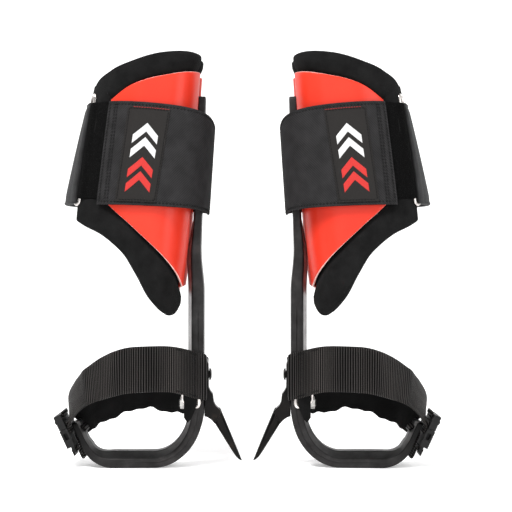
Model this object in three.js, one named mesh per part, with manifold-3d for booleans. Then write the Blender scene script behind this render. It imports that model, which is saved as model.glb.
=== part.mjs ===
// A pair of tree climbing spurs: a forged shank and stirrup for each leg, with a
// bolted gaff, a padded cuff that slides on the upper bar, and an ankle strap.
// Millimetres, +Z up. The two spurs stand side by side, mirrored in the plane X = 0,
// facing -Y, with the origin on the ground between them. The right spur is built at
// -X, and the left one is its mirror image.
import * as THREE from 'three';
import { mergeVertices } from 'three/addons/utils/BufferGeometryUtils.js';
import Module from 'manifold-3d';

const wasm = await Module();
wasm.setup();

// ---------------------------------------------------------------- driving dimensions
const GAP = 0.4;                    // free space kept between touching pieces

const BAR_TOP = 386;                // top of the upper bar
const BAR_TOP_X = -43.6;            // outer face there
const BAR_LEAN = 0.0317;            // sideways lean of the upper bar, mm per mm
const BAR_THICKNESS = 9;
const BAR_DEPTH = 26;
const TAPER_TOP = 258;              // the bar thickens below this height
const SHANK_TOP = 183;
const SHANK_X = -45.4;              // outer face of the straight shank
const SHANK_THICKNESS = 16.5;
const SHANK_DEPTH = 30;
const BEND_TOP = 62;                // the stirrup's big bend starts here
const BEND_WIDTH = 52.3;
const SOLE_END = -139;              // lateral end of the flat sole
const SOLE_DEPTH = 35;
const ARM_RADIUS = 35;              // bend between the sole and the lateral arm
const ARM_THICKNESS = 8.2;
const LAND = 14;                    // flat strip along the middle of the foot side

const BOLT_R = 4;
const BOLT_UPPER_Z = 96;
const BOLT_LOWER_Z = 66;
const GAFF_DEPTH = 14;

const RING_WIRE = 2;                // radius of the ankle rings' wire
const RING_PIVOT = new THREE.Vector2(-66.6, 21.5);
const RING_REACH = new THREE.Vector2(-50, 23.5);
const RING_LOW = 63.5;              // at the free bar
const RING_RISE = 5;                // how much higher the ring's lower side is at its pivot
const RING_HIGH = 118;
const LOOP_TIP = 6.7;               // how far the ankle straps bow out beyond the free bars

const SHELL_THICKNESS = 3;
const PAD_THICKNESS = 11;
const PAD_GAP = 2.2;                // between the shell and the pad, room for the screw heads
const CHANNEL = 7.1;                // depth of the shell's channel behind the bar
const CHANNEL_FLAT = 12;            // half the angle of its floor
const CHANNEL_END = 17;
const SQUARENESS = 4.44;
const STAND_OFF = 9.5;               // how far the wrap stands off over the adjuster
const HINGE_ANGLE = 20;             // where the closure flap bends, degrees round the leg
const FLAP_END = [116.5, 122];      // at the bottom and at the top
const RING_ANGLES = [137.5, 144.5]; // the wrap ring's two long bars, at its bottom
const RING_SLANT = 12;              // how much further round its top is
const BASE_OFFSET = 0.8;
const FLAP_OFFSET = 3.4;
const FLAP_THICKNESS = 3;

const SLEEVE_LOW = 285;
const SLEEVE_HIGH = 340;
const SLEEVE_WALL = 2.4;

const BUCKLE_TILT = THREE.MathUtils.degToRad(25);
const BUCKLE_CENTRE = new THREE.Vector3(-186.5, 0, 33);
const WEBBING = 1.8;                // thickness of flat webbing

// ---------------------------------------------------------------- general helpers
const rad = THREE.MathUtils.degToRad;
const vec = (x, y, z) => new THREE.Vector3(x, y, z);
const smooth = (low, high, x) => THREE.MathUtils.smoothstep(x, low, high);
const { lerp } = THREE.MathUtils;

function fromTriangles(points, triangles) {
  const numbers = points.flatMap((p) => p.toArray());
  const geometry = new THREE.BufferGeometry();
  geometry.setAttribute('position', new THREE.Float32BufferAttribute(numbers, 3));
  geometry.setIndex(triangles);
  return geometry;
}

function signedVolume(geometry) {
  const { position } = geometry.attributes;
  const corners = [vec(), vec(), vec()];
  let sum = 0;
  for (let i = 0; i < geometry.index.count; i += 3) {
    corners.forEach((corner, k) => corner.fromBufferAttribute(position, geometry.index.getX(i + k)));
    sum += corners[0].dot(corners[1].clone().cross(corners[2]));
  }
  return sum / 6;
}

// Keeps only merged positions, and turns the faces outwards.
function solid(source) {
  const bare = source.index ? source.clone() : source;
  bare.deleteAttribute('normal');
  bare.deleteAttribute('uv');
  const geometry = mergeVertices(bare, 1e-3);
  if (signedVolume(geometry) < 0) {
    const index = geometry.index.array;
    for (let i = 0; i < index.length; i += 3) [index[i], index[i + 1]] = [index[i + 1], index[i]];
  }
  return geometry;
}

function toManifold(source) {
  const geometry = solid(source);
  const mesh = new wasm.Mesh({
    numProp: 3,
    vertProperties: new Float32Array(geometry.attributes.position.array),
    triVerts: new Uint32Array(geometry.index.array),
  });
  mesh.merge();
  return new wasm.Manifold(mesh);
}

function fromManifold(body) {
  const { vertProperties, triVerts } = body.getMesh();
  const geometry = new THREE.BufferGeometry();
  geometry.setAttribute('position', new THREE.BufferAttribute(new Float32Array(vertProperties), 3));
  geometry.setIndex([...triVerts]);
  return geometry;
}

const cut = (base, ...tools) =>
  fromManifold(tools.reduce((body, tool) => body.subtract(toManifold(tool)), toManifold(base)));
const join = (base, ...others) =>
  fromManifold(others.reduce((body, other) => body.add(toManifold(other)), toManifold(base)));

// A closed solid through a row of convex rings with the same number of points.
function loft(rings, closedLoop = false) {
  const count = rings[0].length;
  const triangles = [];
  const last = closedLoop ? rings.length : rings.length - 1;
  for (let i = 0; i < last; i += 1) {
    const a = i * count;
    const b = ((i + 1) % rings.length) * count;
    for (let k = 0; k < count; k += 1) {
      const n = (k + 1) % count;
      triangles.push(a + k, a + n, b + n, a + k, b + n, b + k);
    }
  }
  if (!closedLoop) {
    const end = (rings.length - 1) * count;
    for (let k = 1; k < count - 1; k += 1) triangles.push(0, k + 1, k, end, end + k, end + k + 1);
  }
  return solid(fromTriangles(rings.flat(), triangles));
}

// A closed curved plate between an outer and an inner surface.
function plate(outer, inner, nu, nv) {
  const points = [];
  const triangles = [];
  [outer, inner].forEach((surface) => {
    for (let i = 0; i <= nu; i += 1) {
      for (let j = 0; j <= nv; j += 1) points.push(surface(i / nu, j / nv));
    }
  });
  const at = (side, i, j) => side * (nu + 1) * (nv + 1) + i * (nv + 1) + j;
  const quad = (a, b, c, d) => triangles.push(a, b, c, a, c, d);
  for (let i = 0; i < nu; i += 1) {
    for (let j = 0; j < nv; j += 1) {
      quad(at(0, i, j), at(0, i + 1, j), at(0, i + 1, j + 1), at(0, i, j + 1));
      quad(at(1, i, j), at(1, i, j + 1), at(1, i + 1, j + 1), at(1, i + 1, j));
    }
    quad(at(0, i, 0), at(1, i, 0), at(1, i + 1, 0), at(0, i + 1, 0));
    quad(at(0, i, nv), at(0, i + 1, nv), at(1, i + 1, nv), at(1, i, nv));
  }
  for (let j = 0; j < nv; j += 1) {
    quad(at(0, 0, j), at(0, 0, j + 1), at(1, 0, j + 1), at(1, 0, j));
    quad(at(0, nu, j), at(1, nu, j), at(1, nu, j + 1), at(0, nu, j + 1));
  }
  return solid(fromTriangles(points, triangles));
}

// A strap between two edge curves, with a thickness that may change along it.
function strap(edgeA, edgeB, thickness, steps) {
  const curveA = new THREE.CatmullRomCurve3(edgeA);
  const curveB = new THREE.CatmullRomCurve3(edgeB);
  const middle = (u) => curveA.getPoint(u).add(curveB.getPoint(u)).multiplyScalar(0.5);
  const rings = [];
  for (let i = 0; i <= steps; i += 1) {
    const u = i / steps;
    const a = curveA.getPoint(u);
    const b = curveB.getPoint(u);
    const along = middle(Math.min(1, u + 0.01)).sub(middle(Math.max(0, u - 0.01)));
    const half = along.cross(b.clone().sub(a)).setLength(thickness(u) / 2);
    rings.push([a.clone().add(half), b.clone().add(half), b.clone().sub(half), a.clone().sub(half)]);
  }
  return loft(rings);
}

// Round wire along a closed line of points.
function wireLoop(points, radius, steps, sides) {
  const curve = new THREE.CatmullRomCurve3(points, true, 'centripetal');
  const centre = points.reduce((sum, p) => sum.add(p), vec()).divideScalar(points.length);
  const rings = [];
  for (let i = 0; i < steps; i += 1) {
    const p = curve.getPointAt(i / steps);
    const along = curve.getTangentAt(i / steps);
    const across = along.clone().cross(centre.clone().sub(p)).normalize();
    const inward = across.clone().cross(along);
    const ring = [];
    for (let k = 0; k < sides; k += 1) {
      const turn = (2 * Math.PI * k) / sides;
      ring.push(p.clone().addScaledVector(across, radius * Math.cos(turn))
        .addScaledVector(inward, radius * Math.sin(turn)));
    }
    rings.push(ring);
  }
  return loft(rings, true);
}

// A rectangle with rounded corners between four corner points.
function roundedLoop(corners, radius) {
  const points = [];
  corners.forEach((corner, i) => {
    const before = corners[(i + 3) % 4].clone().sub(corner).setLength(radius);
    const after = corners[(i + 1) % 4].clone().sub(corner).setLength(radius);
    const pull = before.clone().add(after).multiplyScalar(0.29);
    points.push(corner.clone().add(before), corner.clone().add(pull), corner.clone().add(after));
    const next = corners[(i + 1) % 4];
    points.push(corner.clone().lerp(next, 0.5));
  });
  return points;
}

const box = (x0, x1, y0, y1, z0, z1) =>
  new THREE.BoxGeometry(x1 - x0, y1 - y0, z1 - z0).translate((x0 + x1) / 2, (y0 + y1) / 2, (z0 + z1) / 2);

// A cylinder along X from x0 to x1.
const rodX = (radius, x0, x1, y, z, sides = 10) =>
  new THREE.CylinderGeometry(radius, radius, x1 - x0, sides).rotateZ(Math.PI / 2)
    .translate((x0 + x1) / 2, y, z);
const rodZ = (radius, x, y, z0, z1, sides = 12) =>
  new THREE.CylinderGeometry(radius, radius, z1 - z0, sides).rotateX(Math.PI / 2)
    .translate(x, y, (z0 + z1) / 2);

// A round part along X from a half profile of (x, radius) points that ends on the axis.
function latheX(profile, y, z, sides = 10) {
  const points = profile.map(([x, r]) => new THREE.Vector2(r, x));
  return new THREE.LatheGeometry(points, sides).rotateZ(-Math.PI / 2).translate(0, y, z);
}

function extrudeOutline(points, depth) {
  const shape = new THREE.Shape(points.map(([a, b]) => new THREE.Vector2(a, b)));
  return new THREE.ExtrudeGeometry(shape, { depth, bevelEnabled: false });
}

// ---------------------------------------------------------------- buckle frame
// s runs up along the tilted buckle, t outwards from its middle plane.
function buckleXZ(s, t) {
  return [
    BUCKLE_CENTRE.x - Math.sin(BUCKLE_TILT) * s - Math.cos(BUCKLE_TILT) * t,
    BUCKLE_CENTRE.z + Math.cos(BUCKLE_TILT) * s - Math.sin(BUCKLE_TILT) * t,
  ];
}
function buckleBox(s0, s1, halfWidth, t0, t1, y = 0) {
  const placed = new THREE.BoxGeometry(t1 - t0, 2 * halfWidth, s1 - s0)
    .translate(-(t0 + t1) / 2, y, (s0 + s1) / 2);
  return placed.rotateY(-BUCKLE_TILT).translate(...BUCKLE_CENTRE.toArray());
}

// ---------------------------------------------------------------- shank and stirrup
const barOuterX = (z) => BAR_TOP_X - BAR_LEAN * (BAR_TOP - z);

// Stations down the outer face: place in the XZ plane, thickness, depth, and the
// height of the side faces before the slope to the land.
function shankStations() {
  const stations = [];
  const add = (x, z, thickness, depth, side) => stations.push({ x, z, thickness, depth, side });
  for (const z of [BAR_TOP, BAR_TOP - 3, 330, 290, TAPER_TOP]) {
    add(barOuterX(z), z, BAR_THICKNESS, z === BAR_TOP ? BAR_DEPTH - 4 : BAR_DEPTH, BAR_THICKNESS - 1.5);
  }
  const taperSteps = 6;
  for (let i = 1; i <= taperSteps; i += 1) {
    const u = i / taperSteps;
    const z = lerp(TAPER_TOP, SHANK_TOP, u);
    const x = lerp(barOuterX(z), SHANK_X, smooth(0.35, 1, u));
    add(x, z, lerp(BAR_THICKNESS, SHANK_THICKNESS, 1 - (1 - u) ** 1.8),
      lerp(BAR_DEPTH, SHANK_DEPTH, u), lerp(BAR_THICKNESS - 1.5, 12, u));
  }
  add(SHANK_X, 120, SHANK_THICKNESS, SHANK_DEPTH, 12);
  const bendSteps = 10;
  for (let i = 0; i <= bendSteps; i += 1) {
    const turn = (Math.PI / 2) * (i / bendSteps);
    add(SHANK_X - BEND_WIDTH * (1 - Math.cos(turn)), BEND_TOP * (1 - Math.sin(turn)),
      SHANK_THICKNESS, lerp(SHANK_DEPTH, SOLE_DEPTH, i / bendSteps), lerp(12, 9.5, i / bendSteps));
  }
  const armSteps = 6;
  const armTurn = Math.PI / 2 - BUCKLE_TILT;
  for (let i = 0; i <= armSteps; i += 1) {
    const u = i / armSteps;
    add(SOLE_END - ARM_RADIUS * Math.sin(armTurn * u), ARM_RADIUS * (1 - Math.cos(armTurn * u)),
      lerp(SHANK_THICKNESS, ARM_THICKNESS + 1.5, smooth(0, 1, u)), SOLE_DEPTH, lerp(9.5, 7, u));
  }
  for (const s of [-12, 8, 10]) {
    const [x, z] = buckleXZ(s, -8.8);
    add(x, z, s === 10 ? ARM_THICKNESS - 2.5 : ARM_THICKNESS, s === 10 ? SOLE_DEPTH - 5 : SOLE_DEPTH - 1,
      s === 10 ? 4.4 : 6);
  }
  return stations;
}

function makeShank() {
  const stations = shankStations();
  const chamfer = 1.2;
  const rings = stations.map((here, i) => {
    const before = stations[Math.max(0, i - 1)];
    const after = stations[Math.min(stations.length - 1, i + 1)];
    const along = new THREE.Vector2(after.x - before.x, after.z - before.z).normalize();
    const foot = new THREE.Vector2(along.y, -along.x);
    const point = (n, y) => vec(here.x + foot.x * n, y, here.z + foot.y * n);
    const half = here.depth / 2;
    const land = LAND / 2;
    return [
      point(0, -half + chamfer), point(0, half - chamfer), point(chamfer, half),
      point(here.side, half), point(here.thickness, land), point(here.thickness, -land),
      point(here.side, -half), point(chamfer, -half),
    ];
  });
  const slot = buckleBox(0, 4.2, 12.8, -25, -5);
  const holes = [BOLT_UPPER_Z, BOLT_LOWER_Z].map((z) => rodX(BOLT_R + GAP, -70, -40, 0, z));
  return cut(loft(rings), slot, ...holes);
}

// ---------------------------------------------------------------- gaff and its bolts
function makeGaff() {
  const face = SHANK_X + GAP;
  const tip = [-5.3, 5.4];
  const outline = [
    [face, 115.5], [face + 1.4, 115.5], [-40.4, 107], [-40.4, 82.5], [-38.4, 78.7], [-35.8, 75.2],
    [-34.9, 67.3], [-32.8, 63], [-26.7, 57.8], tip, [-8.4, 6.2], [-12.7, 10.7], [-33.6, 43.8],
    [-37.1, 48.2], [-41.5, 51.3], [face, 52.2],
  ];
  const blank = extrudeOutline(outline, GAFF_DEPTH).rotateX(Math.PI / 2).translate(0, GAFF_DEPTH / 2, 0);
  const { position } = blank.attributes;
  for (let i = 0; i < position.count; i += 1) {
    const reach = 1 - smooth(5, 50, position.getZ(i));
    position.setY(i, position.getY(i) * lerp(1, 0.25, reach));
  }
  return cut(blank,
    rodX(BOLT_R + GAP, -50, -30, 0, BOLT_UPPER_Z),
    rodX(BOLT_R + GAP, -50, -30, 0, BOLT_LOWER_Z),
    rodX(5.2, -39, -30, 0, BOLT_LOWER_Z));
}

// A button-head bolt along X, its shank ending inside the nut.
function makeBolt(headX, headR, headHeight, z) {
  const end = RING_PIVOT.x - 5.2;
  return latheX([
    [end, 0], [end, BOLT_R], [headX, BOLT_R], [headX, headR], [headX + 0.55 * headHeight, headR * 0.96],
    [headX + headHeight, headR * 0.55], [headX + headHeight, 0],
  ], 0, z);
}

function makeNut(z) {
  const plateInner = SHANK_X - SHANK_THICKNESS - GAP - 2.8;
  const nut = rodX(6.4, plateInner - GAP - 5, plateInner - GAP, 0, z, 6);
  return cut(nut, rodX(BOLT_R + GAP, -90, -50, 0, z));
}

// ---------------------------------------------------------------- ankle ring bracket
function makeRingBracket() {
  const outer = SHANK_X - SHANK_THICKNESS - GAP;
  const inner = outer - 2.8;
  const low = 58;
  const high = 104;
  let body = join(box(inner, outer, -9, 9, low, high), box(inner, outer, -20, 20, 80, 100));
  for (const side of [-1, 1]) {
    const y = side * RING_PIVOT.y;
    body = join(body, rodZ(4.6, RING_PIVOT.x, y, 80, 100));
    body = cut(body, rodZ(RING_WIRE + GAP, RING_PIVOT.x, y, 75, 105));
  }
  return cut(body, ...[BOLT_UPPER_Z, BOLT_LOWER_Z].map((z) => rodX(BOLT_R + GAP, -75, -55, 0, z)));
}

function makeAnkleRing(side) {
  const pivot = vec(RING_PIVOT.x, side * RING_PIVOT.y, 0);
  const reach = vec(RING_REACH.x, side * RING_REACH.y, 0);
  const corners = [
    pivot.clone().setZ(RING_LOW + RING_RISE), reach.clone().setZ(RING_LOW),
    reach.clone().setZ(RING_HIGH), pivot.clone().setZ(RING_HIGH),
  ];
  return wireLoop(roundedLoop(corners, 4), RING_WIRE, 28, 6);
}

// ---------------------------------------------------------------- leg surface
// The cuff wraps round the calf. The angle is 0 at the inner side of the leg next to
// the bar, 90 at the front and 180 at the outer side.
const legCentre = (z) => -117 + 0.119 * (z - 279);
const medialX = (z) => -52.5 + 0.066 * (z - 312) - 0.0005 * Math.max(0, 263 - z) ** 2;
const lateralReach = (z) => 57.5 + 0.11 * (380 - z);
const frontReach = (z) => 55 + 0.04 * (380 - z);
const channel = (angle) => CHANNEL * (1 - smooth(CHANNEL_FLAT, CHANNEL_END, Math.abs(angle)));
const standOff = (angle) => STAND_OFF * (1 - smooth(18, 72, Math.abs(angle)));

// The bar's side of the leg surface is squarer than an ellipse.
function legPoint(angle, z, offset) {
  const across = Math.cos(rad(angle));
  const centre = legCentre(z);
  if (across <= 0) {
    const round = Math.sin(rad(angle));
    return vec(centre + (lateralReach(z) + offset) * across, -(frontReach(z) + offset) * round, z);
  }
  const square = Math.sign(angle) * Math.sqrt(1 - across ** SQUARENESS);
  return vec(centre + (medialX(z) - centre + offset) * across, -(frontReach(z) + offset) * square, z);
}

// A height along the cuff's edge, through hand-set (angle, height) points.
function edgeLine(points) {
  return (angle) => {
    const last = points.length - 1;
    const i = Math.min(last - 1, Math.max(0, points.findIndex(([a]) => a > angle) - 1));
    const k = angle >= points[last][0] ? last - 1 : i;
    const [a0, z0] = points[k];
    const [a1, z1] = points[k + 1];
    return lerp(z0, z1, THREE.MathUtils.clamp((angle - a0) / (a1 - a0), 0, 1));
  };
}
const shellTop = edgeLine([
  [-62, 398], [-30, 409], [0, 410], [40, 407], [66, 403], [88, 398.5], [106, 391.5], [125, 378],
]);
const shellBottom = edgeLine([
  [-62, 262], [-40, 222], [-18, 190], [0, 181], [8, 183], [32, 203], [47, 216], [77, 242],
  [107, 270], [125, 288],
]);
const padTop = edgeLine([
  [-75, 412], [-30, 428], [20, 429], [60, 427.5], [79, 425.5], [109, 417.5], [131, 409.5],
  [146, 403], [156, 396],
]);
const padBottom = edgeLine([
  [-75, 262], [-40, 222], [-15, 192], [10, 184], [16, 170], [25, 160], [36, 162], [50, 170],
  [62, 181], [75, 200], [90, 221], [110, 240], [130, 250], [156, 262],
]);
const wrapTop = (angle) => 355 + 23 * (1 - Math.exp(-Math.abs(angle) / 48));
const wrapBottom = (angle) => 263 + 10 * (1 - Math.exp(-Math.abs(angle) / 60));

// Even angles between two limits, with the edges of the shell's channel among them.
function anglesBetween(from, to, steps) {
  const edges = [-CHANNEL_END, -CHANNEL_FLAT, CHANNEL_FLAT, CHANNEL_END];
  const clearance = 2.4;
  const even = Array.from({ length: steps + 1 }, (_, i) => lerp(from, to, i / steps));
  const kept = even.filter((angle) => edges.every((edge) => Math.abs(angle - edge) > clearance));
  return [...kept, ...edges].sort((a, b) => a - b);
}

const END_STRETCH = 8;              // how closely the stretch to a slanted end keeps to it

// A curved plate on the leg surface between two angles and two edge lines. An angle given
// as a pair changes from the bottom edge to the top edge. A channelled plate has stations
// at the channel's corners, and stretches to its slanted end near that end only.
function legPlate({ from, to, bottom, top, inner, outer, steps, rows = 2, channelled = false }) {
  const limit = (angle, v) => (Array.isArray(angle) ? lerp(...angle, v) : angle);
  const stations = channelled ? anglesBetween(from, limit(to, 0), steps) : null;
  const count = channelled ? stations.length - 1 : steps;
  const surface = (offset) => (u, v) => {
    const end = limit(to, v);
    const stretch = u ** END_STRETCH * (end - limit(to, 0));
    const angle = channelled
      ? stations[Math.round(u * count)] + stretch
      : lerp(limit(from, v), end, u);
    return legPoint(angle, lerp(bottom(angle), top(angle), v), offset(angle));
  };
  return plate(surface(outer), surface(inner), count, rows);
}

// ---------------------------------------------------------------- cuff
function makeShell() {
  const blank = legPlate({
    from: -62, to: 125, bottom: shellBottom, top: shellTop, steps: 26, rows: 4, channelled: true,
    outer: (angle) => -channel(angle),
    inner: (angle) => -SHELL_THICKNESS - channel(angle),
  });
  const screwHoles = shellScrewPlaces().map(([y, z]) => rodX(SCREW_R + GAP, -75, -50, y, z, 8));
  return cut(blank, ...screwHoles, ...rivetHoles());
}

function makePad() {
  const face = (angle) => -SHELL_THICKNESS - PAD_GAP - channel(angle);
  return legPlate({
    from: -75, to: [140, 166], bottom: padBottom, top: padTop, steps: 24, rows: 3, channelled: true,
    outer: face,
    inner: (angle) => face(angle) - PAD_THICKNESS,
  });
}

function alongAxis(geometry, at, direction) {
  const turn = new THREE.Quaternion().setFromUnitVectors(vec(0, 1, 0), direction);
  return geometry.applyQuaternion(turn).translate(at.x, at.y, at.z);
}

// ---------------------------------------------------------------- height adjuster
// The sleeve leans with the bar, so it is built upright at its middle and sheared.
const sleeveMiddle = (SLEEVE_LOW + SLEEVE_HIGH) / 2;
const leanWithBar = (geometry) => {
  geometry.applyMatrix4(new THREE.Matrix4().makeShear(0, 0, 0, 0, BAR_LEAN, 0));
  return geometry.translate(-BAR_LEAN * sleeveMiddle, 0, 0);
};
const adjusterHeights = () => [sleeveMiddle + 14, sleeveMiddle - 14];
const SCREW_R = 2;
const SCREW_Y = 8;
const shellScrewPlaces = () => [[-SCREW_Y, sleeveMiddle + 3], [SCREW_Y, sleeveMiddle + 3]];

// A square tube round the bar, with its two outer corners cut off.
function makeSleeve() {
  const outerFace = barOuterX(sleeveMiddle) + GAP;
  const innerFace = outerFace - BAR_THICKNESS - 2 * GAP;
  const sideIn = BAR_DEPTH / 2 + GAP;
  const sideOut = sideIn + SLEEVE_WALL;
  const corner = 2;
  const outline = [
    [outerFace + SLEEVE_WALL, sideOut - corner], [outerFace + SLEEVE_WALL - corner, sideOut],
    [innerFace - SLEEVE_WALL, sideOut],
  ];
  const other = outline.map(([x, y]) => [x, -y]).reverse();
  const height = SLEEVE_HIGH - SLEEVE_LOW;
  const body = extrudeOutline([...outline, ...other], height).translate(0, 0, SLEEVE_LOW);
  const bore = box(innerFace, outerFace, -sideIn, sideIn, SLEEVE_LOW - 5, SLEEVE_HIGH + 5);
  return cut(leanWithBar(body), leanWithBar(bore),
    ...adjusterHeights().map((z) => rodX(3 + GAP, -50, -35, 0, z)),
    ...shellScrewPlaces().map(([y, z]) => rodX(SCREW_R + GAP, -65, -50, y, z, 8)));
}

function makeAdjusterBolt(z) {
  const tip = barOuterX(z) + GAP;
  const seat = tip + SLEEVE_WALL + 0.2 + BAR_LEAN * 6;
  const crown = seat + 2.2;
  const boltR = 3;
  const headR = 5.2;
  const profile = [
    [tip, 0], [tip, boltR], [seat, boltR], [seat, headR], [seat + 1.4, headR - 0.2],
    [crown, 3.4], [crown, 0],
  ];
  return latheX(profile, 0, z);
}

// Screwed from inside the shell into the sleeve's inner wall.
function makeShellScrew(y, z) {
  const end = barOuterX(z) - BAR_THICKNESS - 2.2 * GAP;
  const seat = medialX(z) - CHANNEL - SHELL_THICKNESS - 2.2 * GAP;
  const crown = seat - 1;
  const headR = 3.4;
  const profile = [
    [end, 0], [end, SCREW_R], [seat, SCREW_R], [seat, headR], [crown, headR - 0.4], [crown, 0],
  ];
  return latheX(profile, y, z, 8);
}

// ---------------------------------------------------------------- calf wrap
// Angles, at the bottom and the top, of a line beside one of the wrap ring's bars.
const ringSide = (beside) => {
  const low = RING_ANGLES[beside > 0 ? 1 : 0] + beside;
  return [low, low + RING_SLANT];
};

function makeWrapBase() {
  const blank = legPlate({
    from: 52, to: ringSide(-4), steps: 12, rows: 1,
    bottom: (angle) => wrapBottom(angle) + 6,
    top: wrapTop,
    inner: () => BASE_OFFSET,
    outer: () => BASE_OFFSET + WEBBING,
  });
  return cut(blank, ...rivetHoles());
}

// Rivets hold the base strip to the shell, near its front end.
const RIVET_R = 1.9;
function rivetPlaces() {
  const angle = 62;
  return [350, 292].map((z) => {
    const at = legPoint(angle, z, 0);
    const tangent = legPoint(angle + 1, z, 0).sub(legPoint(angle - 1, z, 0));
    const out = vec(-tangent.y, tangent.x, 0).normalize();
    return { at, out: out.y < 0 ? out : out.negate() };
  });
}

function rivetHoles() {
  const radius = RIVET_R + 0.5;
  const hole = () => new THREE.CylinderGeometry(radius, radius, 16, 8);
  return rivetPlaces().map(({ at, out }) => alongAxis(hole(), at, out));
}

function makeRivet({ at, out }) {
  const profile = [[0, -3.7], [RIVET_R, -3.7], [RIVET_R, 2.75], [3.4, 2.75], [3.1, 3.15], [0, 3.2]];
  const rivet = new THREE.LatheGeometry(profile.map(([r, y]) => new THREE.Vector2(r, y)), 8);
  return alongAxis(rivet, at, out);
}

function makeWrapRing() {
  const offset = BASE_OFFSET + 1.6;
  const [near, far] = RING_ANGLES;
  const top = RING_SLANT;
  const corners = [[near, 272], [far, 273], [far + top, 385], [near + top, 386]]
    .map(([angle, z]) => legPoint(angle, z, offset));
  return wireLoop(roundedLoop(corners, 4), 1.7, 32, 6);
}

function makeCalfStrap() {
  const overBase = FLAP_OFFSET - BASE_OFFSET;
  const rise = (angle) => BASE_OFFSET + lerp(0, overBase, smooth(-100, -60, angle)) + standOff(angle);
  return legPlate({
    from: HINGE_ANGLE - 0.4, to: ringSide(4).map((angle) => angle - 360), steps: 32, rows: 2,
    bottom: wrapBottom, top: wrapTop,
    inner: rise,
    outer: (angle) => rise(angle) + FLAP_THICKNESS,
  });
}

function makeFlap() {
  const rise = (angle) => FLAP_OFFSET + standOff(angle);
  return legPlate({
    from: HINGE_ANGLE + 0.4, to: FLAP_END, steps: 16, rows: 2,
    bottom: wrapBottom, top: wrapTop,
    inner: rise,
    outer: (angle) => rise(angle) + FLAP_THICKNESS,
  });
}

function makeLabel() {
  const rise = (angle) => FLAP_OFFSET + FLAP_THICKNESS + GAP + standOff(angle);
  return legPlate({
    from: [67.5, 62.5], to: 101, steps: 6, rows: 1,
    bottom: (angle) => wrapBottom(angle) + 3,
    top: (angle) => wrapTop(angle) - 5,
    inner: rise,
    outer: (angle) => rise(angle) + 0.8,
  });
}

// ---------------------------------------------------------------- ankle strap
// Both straps start as a loop round their ring's free bar.
function ringLoop(side, low, high, rise) {
  const { x, y } = RING_REACH;
  const r = RING_WIRE + GAP + WEBBING / 2 + 0.2;
  const tip = x + LOOP_TIP;
  const route = [
    [x - 7, y - r, 0], [x - 2, y - r, 0], [tip, y - 0.7 * r, 0],
    [tip, y + 0.7 * r, rise / 2], [x - 2, y + r, rise],
  ];
  return route.map(([px, py, up]) => [vec(px, side * py, low + up / 2), vec(px, side * py, high + up)]);
}

// The strap's sewn-back end, which hangs below its lower edge beside the shank.
function makeStrapTab() {
  const outline = [
    [-65, 82], [-65.3, 54], [-61.5, 48.5], [-58, 52], [-53.5, 62], [-51.5, 72], [-51.5, 82],
  ];
  const thickness = 1.4;
  return extrudeOutline(outline, thickness).rotateX(Math.PI / 2).translate(0, -26.3, 0);
}

function makeFrontStrap() {
  const end = (s) => {
    const [x, z] = buckleXZ(s, -5.6);
    return [vec(x, -21, z), vec(x, 21, z)];
  };
  const stations = [
    ...ringLoop(-1, 70.5, 116.5, 5),
    [vec(-76, -53, 82.5), vec(-76, -53, 129)],
    [vec(-100, -64, 84), vec(-100, -64, 130)],
    [vec(-122, -62, 82), vec(-122, -61, 128)],
    [vec(-143, -53, 76), vec(-145, -48, 119)],
    [vec(-161, -42, 69), vec(-165, -27, 105)],
    [vec(-173, -34, 60), vec(-181, 0, 88)],
    [vec(-180, -27, 51), vec(-190, 15, 70)],
    end(9), end(1.5),
  ];
  const band = strap(stations.map(([a]) => a), stations.map(([, b]) => b), () => WEBBING, 32);
  return join(band, makeStrapTab());
}

function makeHeelStrap() {
  const stations = [
    ...ringLoop(1, 69.5, 112, 0),
    [vec(-70, 42, 50), vec(-70, 42, 102)],
    [vec(-90, 55, 50), vec(-90, 55, 102)],
    [vec(-115, 60, 53), vec(-115, 60, 102)],
    [vec(-140, 54, 46), vec(-141, 54, 98)],
    [vec(-160, 39, 38), vec(-163, 39, 88)],
    [vec(-165.5, 29, 35.5), vec(-170, 27, 84)],
    [vec(-170.5, 23.3, 31), vec(-174.5, 21.5, 82)],
    [vec(-175.5, 21.4, 33), vec(-178.5, 18.6, 79)],
    [vec(-180, 20.6, 41.5), vec(-182, 16, 77)],
    [vec(-184, 15, 49.5), vec(-185, 11, 74)],
  ];
  const thickness = (u) => lerp(WEBBING, 6, smooth(0.35, 0.5, u) - 0.85 * smooth(0.66, 0.8, u));
  return strap(stations.map(([a]) => a), stations.map(([, b]) => b), thickness, 28);
}

// ---------------------------------------------------------------- buckle
const BUCKLE_HALF = 22;
const MOUTH = 8;                    // s where the male half enters the female half
const CAVITY_HALF = 17.2;

function makeBuckleFemale() {
  const lowerBar = buckleBox(-18.5, -11, BUCKLE_HALF - 4, -2, 1.2);
  const body = join(buckleBox(-11.5, MOUTH, BUCKLE_HALF, -4, 4.5), lowerBar);
  return cut(body,
    buckleBox(-8, MOUTH + 2, CAVITY_HALF, -2.6, 3.1),
    buckleBox(-3, 4, BUCKLE_HALF + 2, -1.8, 2.3),
    buckleBox(-15.6, -11.9, 13, -6, 6));
}

function makeBuckleMale() {
  const prongs = [-1, 1].map((side) => buckleBox(-7, MOUTH + 2, 2.4, -2, 2.5, side * 14));
  const body = join(buckleBox(MOUTH + GAP, 24, BUCKLE_HALF - 1, -3.4, 4.3), ...prongs,
    buckleBox(-4, MOUTH + 2, 2.5, -1.6, 2.1));
  return cut(body, buckleBox(13, 16, 17, -8, 8), buckleBox(19, 22, 17, -8, 8));
}

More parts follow.
